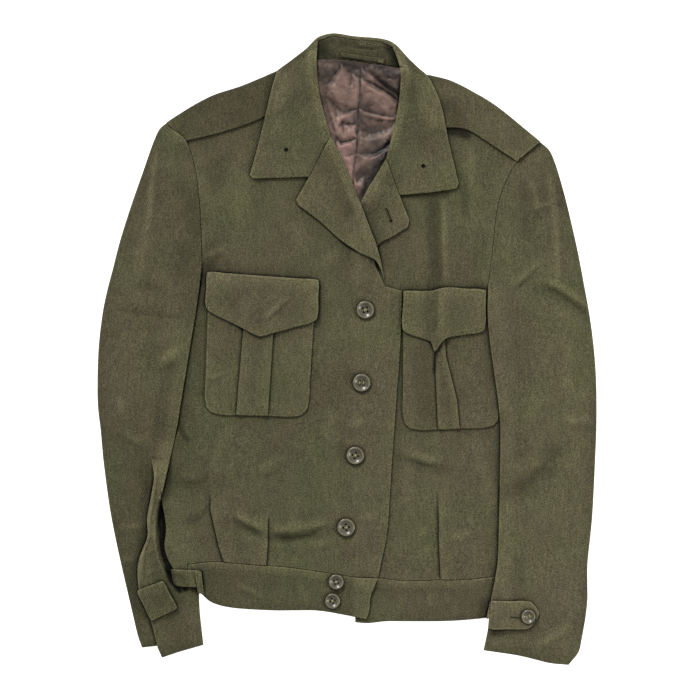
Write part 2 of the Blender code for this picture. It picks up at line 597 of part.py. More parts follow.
def sheet_node(plan, name):
    moved = plan.drawn_in(name)
    levels = [level_of(plan, name, moved, plan.bottom), level_of(plan, name, moved, plan.top)]
    return solid(plan, name, levels, {n: {0} for n in plan.cover[name]})


def folded_node(plan, piece):
    """Two sheets made one along their folds, and hollow between them elsewhere."""
    lower, upper = plan.drawn_in(piece.lower), plan.drawn_in(piece.upper)
    levels = [
        level_of(plan, piece.lower, lower, plan.bottom), level_of(plan, piece.lower, lower, plan.top),
        level_of(plan, piece.upper, upper, plan.bottom), level_of(plan, piece.upper, upper, plan.top),
    ]
    filled = {}
    for n in plan.cover[piece.lower] | plan.cover[piece.upper]:
        slabs = ({0} if n in plan.cover[piece.lower] else set())
        slabs |= {2} if n in plan.cover[piece.upper] else set()
        if len(slabs) == 2 and any(away(plan.centres[n], f, closed=False) < FOLD_WIDTH for f in piece.folds):
            slabs.add(1)
        filled[n] = slabs
    return solid(plan, piece.node, levels, filled)


def button(plan, row):
    """A turned disc with a rim, a dished face and four holes, on the cloth that carries it."""
    radius = row.diameter / 2
    foot = BUTTON_PROFILE[-2:]
    seat = max(height_over(plan, row, radius * turn.r) - turn.z for turn in foot) + GAP
    mesh = bmesh.new()
    rings = []
    for turn in BUTTON_PROFILE:
        rings.append([
            mesh.verts.new(Vector((
                row.x + turn.r * radius * math.cos(2 * math.pi * k / BUTTON_SIDES),
                row.y + turn.r * radius * math.sin(2 * math.pi * k / BUTTON_SIDES),
                seat + turn.z)) * MM)
            for k in range(BUTTON_SIDES)
        ])
    for upper, lower in zip(rings, rings[1:]):
        for k in range(BUTTON_SIDES):
            after = (k + 1) % BUTTON_SIDES
            mesh.faces.new([upper[k], lower[k], lower[after], upper[after]])
    mesh.faces.new(rings[0])
    mesh.faces.new(rings[-1][::-1])
    disc = made_object(row.node, mesh)
    pierce(disc, row, seat)
    return disc


def pierce(disc, row, seat):
    """Cuts the four thread holes."""
    mesh = bmesh.new()
    for side_x in (-1, 1):
        for side_y in (-1, 1):
            place = Vector((row.x + side_x * BUTTON_HOLE, row.y + side_y * BUTTON_HOLE, seat + 1)) * MM
            made = bmesh.ops.create_cone(mesh, cap_ends=True, segments=6, radius1=BUTTON_HOLE / 2 * MM,
                                         radius2=BUTTON_HOLE / 2 * MM, depth=8 * MM)
            bmesh.ops.translate(mesh, verts=made["verts"], vec=place)
    cutter = made_object(disc.name + "_holes", mesh)
    cutter.hide_render = True
    cutter.display_type = "WIRE"
    cut = disc.modifiers.new("holes", "BOOLEAN")
    cut.operation = "DIFFERENCE"
    cut.object = cutter


def height_over(plan, row, radius):
    """The highest point, under a disc, of the cloth that carries a button."""
    sheet = row.rests_on
    ring = [(row.x + radius * math.cos(2 * math.pi * k / BUTTON_SIDES),
             row.y + radius * math.sin(2 * math.pi * k / BUTTON_SIDES)) for k in range(BUTTON_SIDES)]
    best = 0
    for n in plan.cover[sheet]:
        corners = [Vector((*plan.points[i], plan.top(sheet, i))) for i in plan.triangles[n]]
        best = max([best] + [c.z for c in corners if math.dist(c[:2], (row.x, row.y)) < radius])
        normal = (corners[1] - corners[0]).cross(corners[2] - corners[0])
        for x, y in ring:
            if inside((x, y), [tuple(c[:2]) for c in corners]):
                rise = normal.x * (x - corners[0].x) + normal.y * (y - corners[0].y)
                best = max(best, corners[0].z - rise / normal.z)
    return best


def paint(thing, name):
    row = next(row for row in COLOURS if row.name == name)
    finish = bpy.data.materials.get(name)
    if finish is None:
        finish = bpy.data.materials.new(name)
        finish.use_nodes = True
        shader = finish.node_tree.nodes["Principled BSDF"]
        shader.inputs["Base Color"].default_value = (*row.rgb, 1)
        shader.inputs["Roughness"].default_value = row.roughness
    thing.data.materials.append(finish)


def main():
    for old in list(bpy.data.objects):
        bpy.data.objects.remove(old, do_unlink=True)
    plan = Plan()
    joined = {name for piece in FOLDED for name in (piece.lower, piece.upper)}
    cloth = [sheet_node(plan, sheet.name) for sheet in SHEETS if sheet.name not in joined]
    cloth += [folded_node(plan, piece) for piece in FOLDED]
    for thing in cloth:
        paint(thing, "satin" if thing.name in ("lining_back", "hanger_loop") else "wool")
    discs = [button(plan, row) for row in BUTTONS]
    for disc in discs:
        paint(disc, "button")
    move_to_origin(cloth)


def move_to_origin(cloth):
    """Puts the middle of the garment's outline at the origin in plan."""
    places = [v.co for thing in cloth for v in thing.data.vertices]
    middle = Vector([(min(p[k] for p in places) + max(p[k] for p in places)) / 2 for k in (0, 1)] + [0])
    for thing in bpy.data.objects:
        for vertex in thing.data.vertices:
            vertex.co -= middle


main()
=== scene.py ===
"""A waist-length wool jacket laid flat on its back, built round its measured solids.

Each piece of cloth takes its outline from its solid and is laid again on what lies under it: one map of
heights holds every sheet, so a pocket follows the front's creases and a flap follows the pocket's pleats.
The creases are drawn in the tables below, in millimetres, +X to the wearer's left and +Y to the neck.
"""

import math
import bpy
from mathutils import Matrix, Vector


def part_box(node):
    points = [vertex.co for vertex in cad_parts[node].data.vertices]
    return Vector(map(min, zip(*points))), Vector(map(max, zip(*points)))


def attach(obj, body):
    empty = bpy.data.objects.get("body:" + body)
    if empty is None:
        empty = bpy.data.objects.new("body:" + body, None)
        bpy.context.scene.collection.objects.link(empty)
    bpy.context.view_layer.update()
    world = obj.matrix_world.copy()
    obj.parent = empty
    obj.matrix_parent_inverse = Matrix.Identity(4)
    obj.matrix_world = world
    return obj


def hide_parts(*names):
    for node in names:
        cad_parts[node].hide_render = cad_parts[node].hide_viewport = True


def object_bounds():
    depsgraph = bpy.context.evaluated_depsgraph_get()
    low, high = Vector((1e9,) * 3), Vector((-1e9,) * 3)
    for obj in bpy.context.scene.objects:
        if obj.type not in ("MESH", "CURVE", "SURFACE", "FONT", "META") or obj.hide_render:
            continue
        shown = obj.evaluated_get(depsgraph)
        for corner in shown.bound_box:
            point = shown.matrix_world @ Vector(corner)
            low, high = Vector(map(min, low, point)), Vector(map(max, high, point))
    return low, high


bl_info = {
    "name": "Laid-out wool jacket",
    "version": (1, 0, 0),
    "blender": (4, 5, 0),
    "location": "3D View > Sidebar > Jacket",
    "description": "Builds a creased wool jacket, its lining, stitches and buttons round their solids",
    "category": "Add Mesh",
}

from collections import namedtuple

import bpy
import numpy as np
from bpy.props import FloatProperty, FloatVectorProperty, IntProperty, PointerProperty
from mathutils import Vector, kdtree
from mathutils.geometry import delaunay_2d_cdt

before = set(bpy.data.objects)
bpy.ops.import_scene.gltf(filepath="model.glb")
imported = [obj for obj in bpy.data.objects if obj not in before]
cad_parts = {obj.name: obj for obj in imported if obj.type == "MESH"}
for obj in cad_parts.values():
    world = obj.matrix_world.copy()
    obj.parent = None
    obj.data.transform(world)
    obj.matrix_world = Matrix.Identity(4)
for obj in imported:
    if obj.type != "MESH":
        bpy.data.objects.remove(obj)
CAD_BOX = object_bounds()
MM = 0.001
ROOT = "root"


def table(columns, *rows):
    row = namedtuple("Row", columns)
    return [row(*values) for values in rows]


# ---- Seams that pieces meet along, mm ----

ARMHOLE_RIGHT = [(-199, 249), (-177, 229), (-167, 198), (-162, 158), (-160, 89)]
ARMHOLE_LEFT = [(213, 228), (187, 206), (173, 180), (165, 153), (160, 109), (155, 67)]
WAIST = [(-175, -237), (-146, -234), (-111, -236), (-68, -240), (-31, -245), (9, -251), (33, -253),
         (62, -255), (103, -254), (129, -254), (164, -250)]

# ---- Creases: soft ridges (rise over 0) and troughs (under 0). left and right are the widths on each side
# ---- of the path, mm, seen from its first point. fade is the share of its length over which an end dies out.

CREASE = "sheet left right rise fade path"
FRONT_CREASES = table(
    CREASE,
    # Drag lines towards the lowest front button, and the folds above the waist tucks.
    ("front_right", 10, 4, 1.7, 0.3, [(-128, -182), (-108, -191), (-90, -201)]),
    ("front_right", 12, 5, 2.0, 0.3, [(-88, -200), (-62, -200), (-38, -196), (-12, -189)]),
    ("front_right", 4, 9, -1.2, 0.35, [(-121, -192), (-105, -200), (-92, -208)]),
    ("front_right", 3, 11, -1.5, 0.3, [(-85, -206), (-66, -208), (-42, -205), (-28, -201)]),
    ("front_right", 9, 6, 1.3, 0.4, [(-19, -210), (-41, -219)]),
    ("front_right", 7, 7, 1.2, 0.4, [(9, -187), (36, -185)]),
    ("front_right", 10, 8, 1.3, 0.4, [(-190, -146), (-172, -143), (-157, -142)]),
    ("front_right", 14, 9, 1.6, 0.35, [(-132, -81), (-146, -125), (-149, -157)]),
    ("front_right", 16, 10, 1.5, 0.4, [(-66, -111), (-82, -124), (-100, -140)]),
    ("front_right", 10, 10, 1.2, 0.4, [(-5, 110), (-21, 96), (-30, 86)]),
    ("front_right", 16, 20, -1.6, 0.4, [(-120, 222), (-138, 200), (-150, 160)]),
    ("front_right", 22, 18, 2.0, 0.4, [(-106, 215), (-116, 165), (-122, 110)]),
    ("front_right", 12, 18, -1.2, 0.4, [(-145, 103), (-156, 89), (-160, 60)]),
    ("front_right", 20, 20, 1.6, 0.4, [(-60, 150), (-54, 120), (-50, 92)]),
    ("front_right", 14, 12, 1.3, 0.4, [(-12, -60), (-20, -90), (-22, -112)]),
    ("front_right", 9, 12, 1.2, 0.4, [(20, -75), (10, -84), (-4, -88)]),
    ("front_right", 12, 12, 1.0, 0.4, [(-120, -170), (-112, -200), (-108, -228)]),
    ("front_right", 12, 14, 1.2, 0.4, [(-60, -165), (-58, -200), (-50, -235)]),
    ("front_right", 6, 8, 1.3, 0.35, [(-152, -164), (-163, -180), (-174, -189)]),
    ("front_right", 7, 7, 1.4, 0.35, [(-158, 98), (-145, 106), (-131, 112)]),
    ("front_right", 10, 12, 1.2, 0.4, [(-120, 60), (-134, 70), (-150, 72)]),
    ("pocket_right", 5, 6, 1.2, 0.3, [(-156, -31), (-146, -31), (-134, -26)]),
    ("flap_right", 3, 7, 1.5, 0.2, [(-61, 59), (-76, 45), (-92, 30)]),
    ("flap_left", 14, 4, 1.3, 0.2, [(103, 72), (101, 34), (99, 4)]),
    ("front_left", 14, 4, 2.0, 0.35, [(56, -114), (86, -124), (110, -128)]),
    ("front_left", 8, 8, 1.3, 0.4, [(75, -210), (84, -202), (91, -196)]),
    ("front_left", 9, 9, 1.3, 0.4, [(113, -212), (128, -206), (141, -202)]),
    ("front_left", 12, 8, -1.5, 0.25, [(93, 176), (94, 120), (97, 60)]),
    ("front_left", 9, 4, 1.7, 0.25, [(105, 176), (106, 120), (108, 60)]),
    ("front_left", 8, 8, -1.1, 0.4, [(127, 190), (129, 160), (131, 130)]),
    ("front_left", 14, 16, 1.8, 0.4, [(135, 230), (136, 195), (132, 160)]),
    ("front_left", 14, 14, -1.4, 0.4, [(150, 140), (148, 110), (146, 76)]),
    ("front_left", 16, 14, 1.4, 0.4, [(140, -100), (152, -140), (160, -190)]),
    ("front_left", 14, 14, 1.2, 0.4, [(70, -100), (66, -150), (70, -190)]),
    # The fronts rise to their armholes over the turned seam.
    ("front_right", 20, 20, 1.5, 0.02, ARMHOLE_RIGHT),
    ("front_left", 20, 20, 1.5, 0.02, ARMHOLE_LEFT),
    ("waistband_right", 6, 8, 1.2, 0.4, [(-128, -256), (-109, -264), (-91, -275)]),
    ("waistband_right", 8, 8, 0.9, 0.4, [(-60, -250), (-50, -266), (-44, -284)]),
    ("waistband_left", 8, 8, 0.8, 0.4, [(96, -262), (90, -280), (86, -296)]),
)
SLEEVE_CREASES = table(
    CREASE,
    ("sleeve_right", 5, 8, 1.7, 0.3, [(-206, 235), (-209, 215), (-213, 182), (-216, 147), (-221, 112)]),
    ("sleeve_right", 12, 14, 1.0, 0.4, [(-217, 150), (-224, 104), (-233, 58)]),
    ("sleeve_right", 3, 3, -0.7, 0.2, [(-263, 45), (-234, 39), (-206, 36), (-178, 34)]),
    ("sleeve_right", 14, 9, 1.8, 0.4, [(-173, 4), (-195, -8), (-217, -23)]),
    ("sleeve_right", 8, 6, 1.4, 0.4, [(-256, -51), (-250, -62), (-244, -80)]),
    ("sleeve_right", 8, 7, 1.3, 0.4, [(-252, -89), (-236, -98), (-217, -111)]),
    ("sleeve_right", 6, 9, 1.2, 0.4, [(-254, -195), (-238, -196), (-222, -195)]),
    ("sleeve_right", 6, 9, 1.1, 0.4, [(-250, -230), (-238, -231), (-230, -229)]),
    ("sleeve_right", 16, 14, 1.3, 0.4, [(-190, 180), (-182, 140), (-184, 90)]),
    ("sleeve_right", 12, 12, -1.2, 0.4, [(-196, 60), (-215, 66), (-240, 70)]),
    ("sleeve_left", 6, 10, 1.6, 0.15,
     [(222, 200), (227, 164), (231, 115), (231, 65)]),
    ("sleeve_left", 6, 8, 1.5, 0.35, [(197, 150), (212, 156), (229, 161)]),
    ("sleeve_left", 9, 6, 1.5, 0.35, [(179, 66), (198, 82), (214, 97)]),
    ("sleeve_left", 5, 12, 1.3, 0.35, [(196, 190), (206, 176), (212, 150)]),
    ("sleeve_left", 9, 3, 1.1, 0.3, [(212, 77), (238, 64), (271, 41)]),
    ("sleeve_left", 4, 7, -1.3, 0.25, [(210, 73), (236, 59), (270, 34)]),
    ("sleeve_left", 3, 3, -0.8, 0.3, [(180, 61), (200, 80), (214, 93)]),
    ("sleeve_left", 3, 3, -0.7, 0.3, [(195, 146), (218, 155), (243, 162)]),
    ("sleeve_left", 7, 9, 1.5, 0.35, [(234, -81), (254, -80), (274, -76)]),
    ("sleeve_left", 18, 12, 1.8, 0.4, [(174, -155), (196, -134), (223, -111)]),
    ("sleeve_left", 16, 16, -1.2, 0.4, [(188, -170), (214, -146), (240, -124)]),
    ("sleeve_left", 9, 7, 1.6, 0.3, [(204, -331), (226, -318), (251, -300)]),
    ("sleeve_left", 14, 14, 1.2, 0.4, [(180, 150), (176, 100), (180, 40)]),
    ("sleeve_left", 12, 12, 1.2, 0.4, [(246, 10), (240, -30), (244, -66)]),
    ("vent", 2.5, 4, 2.0, 0.1,
     [(-212, -122), (-209, -140), (-213, -166), (-217, -188), (-217, -205), (-223, -221), (-225, -234),
      (-225, -262)]),
    ("vent", 5, 5, 0.9, 0.4, [(-221, -228), (-214, -221), (-206, -216)]),
    ("vent", 5, 5, 0.8, 0.4, [(-223, -250), (-215, -245), (-207, -243)]),
)
LINING_CREASES = table(
    CREASE,
    # The centre seam lies in a fine groove.
    ("lining_back", 1.5, 1.5, -0.15, 0.03,
     [(15, 311), (15, 299), (14, 280), (12, 265), (12, 248), (11, 232), (10, 215), (7, 193)]),
)
# The satin's folds: x, y and height along each ridge and valley. Crushed satin is flat between them.
LINING_FOLDS = [
    [(15, 311, 0.8), (15, 299, 0.6), (14, 280, 0.7), (12, 265, 0.1), (12, 248, 0.1), (11, 232, 0.2),
     (10, 215, 0.6), (7, 193, 0.5), (6, 170, 0.4)],
    # From the loop down, left of the centre seam.
    [(-7, 316, 2.4), (-5, 304, 3.4), (2, 283, 2.0)],
    [(-3, 312, 0.4), (6, 302, 0.2), (15, 299, 0.6)],
    [(-29, 297, 0.4), (-13, 303, 0.1), (-8, 309, 0.8)],
    [(-30, 310, 2.2), (-19, 311, 2.8), (-12, 308, 2.0)],
    [(-13, 303, 0.1), (-22, 289, 0.2), (-24, 277, 0.6)],
    [(-12, 294, 2.6), (-16, 284, 2.8), (-9, 272, 2.2)],
    [(11, 296, 2.8), (10, 281, 2.6), (8, 268, 2.2)],
    [(-20, 276, 0.3), (-12, 266, 0.1), (-3, 260, 0.3), (5, 262, 0.3), (12, 265, 0.1)],
    [(9, 261, 1.5), (0, 256, 3.0), (-8, 252, 3.4), (-12, 244, 3.4), (-13, 237, 2.0)],
    [(-5, 249, 0.6), (6, 247, 0.2), (12, 248, 0.1), (24, 248.5, 0.5), (36, 248, 0.2), (50, 245, 0.3)],
    [(-9, 234, 2.4), (-3, 233, 3.0), (5, 235, 2.6)],
    [(8, 244, 2.6), (7, 240, 2.8)],
    [(-11, 231, 0.6), (-6, 227, 0.1), (2, 228.5, 0.3), (11, 232, 0.2)],
    [(-8, 222, 2.4), (1, 224.5, 2.8), (9, 228, 2.2)],
    [(-4, 211, 1.4), (3, 208, 2.8), (4, 190, 2.0)],
    # Right of it: drag folds towards the shoulder, then two across.
    [(20, 308, 0.4), (33, 299, 0.0), (44, 289, 0.0), (58, 280, 0.1)],
    [(18, 304, 2.4), (31, 295, 3.4), (43, 285.5, 3.2), (56, 276, 1.8)],
    [(17, 297, 0.6), (32, 290, 0.2), (46, 282, 0.1), (57, 273, 0.3)],
    [(17, 291, 2.0), (30, 284, 2.4), (45, 276, 2.8), (54, 268, 1.8)],
    [(46, 290, 0.8), (52, 293, 2.8), (58, 296, 2.8)],
    [(26, 275, 1.8), (33, 271, 3.0), (40, 265, 2.8), (44, 261, 1.2)],
    [(12, 265, 0.1), (26, 260.5, 0.1), (40, 257, 0.1), (53, 255, 0.2)],
    [(14.5, 262, 1.2), (27, 257, 2.4), (40, 254, 2.2), (52, 252.8, 1.4)],
    [(15, 257, 0.6), (27, 253, 0.3), (40, 251, 0.3), (53, 250.6, 0.2)],
    [(14, 243, 0.4), (24, 236, 0.1), (40, 239.5, 0.8), (50, 245, 0.3)],
    [(16, 231, 2.4), (27, 229, 3.2), (40, 232, 3.6), (49, 237, 2.6)],
    [(47, 226, 0.2), (38, 219, 0.0), (30, 215, 0.3)],
    [(46, 219, 2.2), (36, 212, 3.4), (24, 207, 3.2), (14, 201, 2.0)],
    [(43, 210, 0.4), (32, 200, 0.1), (20, 192, 0.1), (12, 186, 0.4)],
    [(9, 181, 2.4), (16, 180, 3.0), (21, 176, 2.2)],
    [(16, 180, 3.0), (14, 165, 2.0)],
]
# Flat ground round the folds, well outside the lining.
LINING_CORNERS = [(-60, 350, 1.0), (100, 350, 1.0), (100, 140, 1.0), (-60, 140, 1.0)]
# Where the satin is pinker: width, depth and path as for the shades below.
TINTS = table(
    "sheet width depth path",
    ("lining_back", 18, 1.0, [(-3, 222), (2, 204), (5, 184)]),
    ("lining_back", 16, 0.7, [(-6, 248), (4, 240)]),
    ("lining_back", 22, 0.5, [(-4, 290), (5, 270)]),
    ("lining_back", 24, 0.35, [(20, 284), (38, 268)]),
)
NECK_CREASES = table(
    CREASE,
    ("collar", 7, 9, 1.6, 0.06,
     [(-37, 330), (-39, 300), (-35, 278), (-24, 240)]),
    ("collar", 9, 7, 1.6, 0.06, [(55, 328), (63, 305), (63, 283), (58, 250), (49, 214)]),
    ("lapel_right", 7, 9, 1.8, 0.06, [(-23, 230), (-8, 202), (10, 157), (28, 110), (37, 74)]),
    ("lapel_left", 9, 7, 1.2, 0.06, [(47, 206), (35, 186), (20, 158)]),
    ("collar_stand", 3, 3, -0.9, 0.2, [(8, 331.5), (18, 330), (30, 329)]),
    ("collar_stand", 3, 3, 0.9, 0.2, [(10, 334.5), (22, 333), (33, 332)]),
    ("collar_stand", 3, 3, -0.8, 0.2, [(14, 337.5), (24, 336.5), (34, 335)]),
    ("collar_stand", 3, 3, -0.8, 0.3, [(-22, 342), (-20, 336), (-21, 331)]),
    ("collar_stand", 3, 4, 0.8, 0.3, [(-12, 342), (-10, 336), (-12, 330)]),
    ("collar", 16, 12, 1.0, 0.4, [(-70, 300), (-76, 260), (-78, 220)]),
    ("collar", 12, 16, 1.0, 0.4, [(88, 290), (94, 250), (98, 210)]),
)
CREASES = FRONT_CREASES + SLEEVE_CREASES + LINING_CREASES + NECK_CREASES

# Pressed edges: the cloth steps up by the rise on the side that it stands on, seen from the path's first
# point (1 left, -1 right), and comes down again over the width.
PRESSED = table(
    "sheet side width rise fade path",
    ("pocket_right", 1, 14, 1.7, 0.0, [(-112, 46), (-122, -74)]),
    ("pocket_right", -1, 15, 1.7, 0.0, [(-79, 46), (-87, -77)]),
    ("pocket_left", 1, 5, 1.7, 0.0, [(98, 34), (97, -23), (100, -90)]),
    ("pocket_left", -1, 9, 2.0, 0.0, [(106, 34), (109, -9), (121, -56), (124, -90)]),
    ("front_right", 1, 24, 2.0, 0.35, [(-150, -150), (-150, -178), (-141, -218), (-135, -236)]),
    ("front_right", -1, 22, 1.9, 0.3, [(-86, -176), (-87, -190), (-87, -216), (-89, -240)]),
    ("front_left", 1, 24, 2.0, 0.35, [(100, -150), (101, -190), (101, -210), (103, -254)]),
)

# Turnings: cloth that runs on under its neighbour past a seam, so that no seam shows the floor.
SIDE_RIGHT = [(-159, 100), (-160, 89), (-174, 72), (-184, 52), (-190, 29), (-195, -5), (-196, -40),
              (-194, -63), (-188, -82), (-187, -91), (-193, -113), (-198, -136), (-203, -160)]
SIDE_LEFT = [(160, 109), (155, 67), (157, 20), (158, -60)]
VENT_HEAD = [(-203, -154), (-204, -164), (-203, -173)]
SLIT_END = [(-209, -325.5), (-209, -316), (-210, -300)]
TURNINGS = table(
    "sheet amount path",
    ("back", 6, ARMHOLE_RIGHT), ("back", 6, ARMHOLE_LEFT), ("back", 6, WAIST),
    ("back", 8, SIDE_RIGHT), ("back", 6, SIDE_LEFT), ("back", 4, VENT_HEAD),
    ("sleeve_right", 3, SLIT_END), ("sleeve_right_under", 3, SLIT_END),
)
TURNING_REACH = 4.0   # how near its line an outline has to run to be moved, and at a roll
ROLL_REACH = 2.0
MOVE_TAPER = 12       # such a move grows over one part in this many of the line, at each end
# Painted shade: soft dark patches where shadow falls in gaps, hollows and under edges, and where the cloth
# lies in shade, from the middle of the path outwards. depth 1 is black.
SHADES = table(
    "sheet width depth path",
    ("collar_stand", 40, 0.22, [(-40, 326), (60, 316)]),
    ("collar_stand", 24, 0.66, [(-38, 340), (-32, 330), (-28, 318)]),
    ("hanger_loop", 30, 0.34, [(-20, 322), (60, 312)]),
    ("collar_stand", 9, 0.40, [(-16, 338), (0, 337), (10, 336)]),
    ("collar_stand", 4, 0.45, [(8, 333), (24, 332), (34, 331)]),
    ("collar_stand", 5, 0.55, [(-6, 316), (20, 313), (40, 309)]),
    ("collar_stand", 12, 0.75, [(46, 334), (54, 322), (60, 304)]),
    ("lining_back", 6, 0.50, [(-32, 318), (15, 315), (57, 310)]),
    ("lining_back", 16, 0.20, [(-31, 316), (-27, 306), (-28, 292)]),
    ("lining_back", 5, 0.50, [(-6, 314), (14, 309), (30, 304)]),
    ("lining_back", 9, 0.80, [(38, 307), (48, 301), (60, 297)]),
    ("lining_back", 16, 0.40, [(22, 309), (40, 304), (58, 300)]),
    ("lining_back", 6, 0.90, [(32, 298), (44, 288), (58, 279)]),
    ("lining_back", 8, 0.70, [(58, 296), (58, 286), (57, 280)]),
    ("lining_back", 6, 0.85, [(46, 226), (39, 219), (31, 215)]),
    ("lining_back", 12, 0.80, [(42, 212), (30, 190), (20, 172)]),
    ("lining_back", 10, 0.45, [(30, 204), (20, 196), (12, 190)]),
    ("lining_back", 9, 0.28, [(-31, 298), (-28, 280), (-20, 252)]),
    ("lining_back", 7, 0.40, [(20, 243), (30, 241), (38, 243)]),
    ("front_left", 8, 0.45, [(58, 171), (84, 170), (108, 171)]),
    ("front_left", 9, 0.75, [(108, 241), (122, 239), (131, 236)]),
    ("front_left", 14, 0.22, [(93, 185), (94, 120), (97, 50)]),
    ("front_left", 8, 0.12, [(128, 190), (130, 150), (131, 130)]),
    ("front_left", 10, 0.16, [(58, -118), (86, -128), (110, -134)]),
    ("flap_left", 14, 0.22, [(91, 72), (92, 30), (94, 2)]),
    ("pocket_left", 3.5, 0.65, [(105, 10), (101, 1), (97, -9), (96, -24)]),
    ("pocket_left", 20, 0.20, [(80, -6), (84, -50), (88, -84)]),
    ("front_right", 16, 0.18, [(-150, 110), (-156, 90), (-158, 60)]),
    ("front_right", 7, 0.36, [(-85, -206), (-70, -208), (-54, -207)]),
    ("front_right", 7, 0.24, [(-121, -190), (-106, -198), (-92, -205)]),
    ("front_right", 34, 0.12, [(-158, 10), (-168, -50), (-174, -100), (-176, -150)]),
    ("front_right", 6, 0.50, [(-186, -80), (-181, -92), (-177, -100)]),
    ("front_right", 9, 0.28, [(-180, -143), (-168, -146), (-156, -142)]),
    ("front_right", 9, 0.25, [(-152, -165), (-162, -180), (-172, -188)]),
    ("front_right", 16, 0.12, [(-140, -90), (-148, -130), (-150, -160)]),
    ("epaulette_right", 60, 0.22, [(-190, 240), (-90, 270)]),
    ("epaulette_left", 16, 0.28, [(98, 266), (114, 266), (122, 252)]),
    ("front_right", 80, 0.08, [(-60, -50), (-60, -160)]),
    ("sleeve_right", 24, 0.20, [(-176, 170), (-172, 110), (-176, 40)]),
    ("sleeve_right", 8, 0.30, [(-222, -196), (-226, -214), (-232, -240), (-234, -262)]),
    ("vent", 14, 0.30, [(-211, -216), (-210, -234), (-207, -250), (-203, -262)]),
    ("sleeve_right", 12, 0.22, [(-196, -20), (-204, -60), (-206, -96)]),
    ("sleeve_right", 34, 0.15, [(-250, -100), (-240, -180), (-230, -280), (-222, -330)]),
    ("cuff_tab_right", 60, 0.30, [(-230, -260), (-190, -300)]),
    ("vent", 44, 0.14, [(-206, -262), (-186, -340)]),
    ("waistband_right", 40, 0.16, [(-150, -266), (0, -280)]),
    ("waistband_left", 40, 0.08, [(30, -280), (150, -280)]),
    ("sleeve_left", 18, 0.20, [(174, -158), (198, -138), (224, -114)]),
    ("sleeve_left", 9, 0.22, [(212, 66), (238, 54), (266, 34)]),
    ("sleeve_left", 14, 0.14, [(196, 176), (200, 150), (206, 110)]),
    ("vent", 1.6, 0.8, [(-203.5, -157), (-204, -166)]),
    ("vent", 4, 1.0, [(-204.5, -168), (-205, -174)]),
    ("vent", 5, 1.0,
     [(-205.5, -176), (-206.5, -186), (-206, -208), (-202, -232), (-194, -254), (-184, -266)]),
    ("vent", 6, 1.0, [(-203, -168), (-202, -190), (-202, -208), (-198, -230), (-190, -252), (-178, -264)]),
    ("waist_strap_right", 30, 0.22, [(-200, -256), (-165, -258)]),
    ("strap_keeper_right", 20, 0.20, [(-163, -247), (-161, -270)]),
    ("waist_strap_right", 7, 0.55, [(-196, -240), (-190, -262)]),
)
# Where the collar and lapels roll over. The fronts stop short of it, so that the roll can turn.
ROLL_RIGHT = [(-32, 339), (-33, 321), (-33, 311), (-30, 280), (-18, 234), (-3, 205), (15, 160), (33, 113),
              (38, 94), (42, 69)]
ROLL_LEFT = [(50, 332), (58, 309), (58, 283), (53, 250), (43, 210), (30, 188), (15, 160)]
ROLLS = {"front_right": ROLL_RIGHT, "front_left": ROLL_LEFT}
ROLL_BACK = 7

# ---- Sheets: stretch 0 is the solid's upper cloth and 1 its lower. crown is the air under the middle, reach
# ---- the distance from the edge over which it rises, and drape the distance over which the sheet smooths
# ---- out what it lies on.

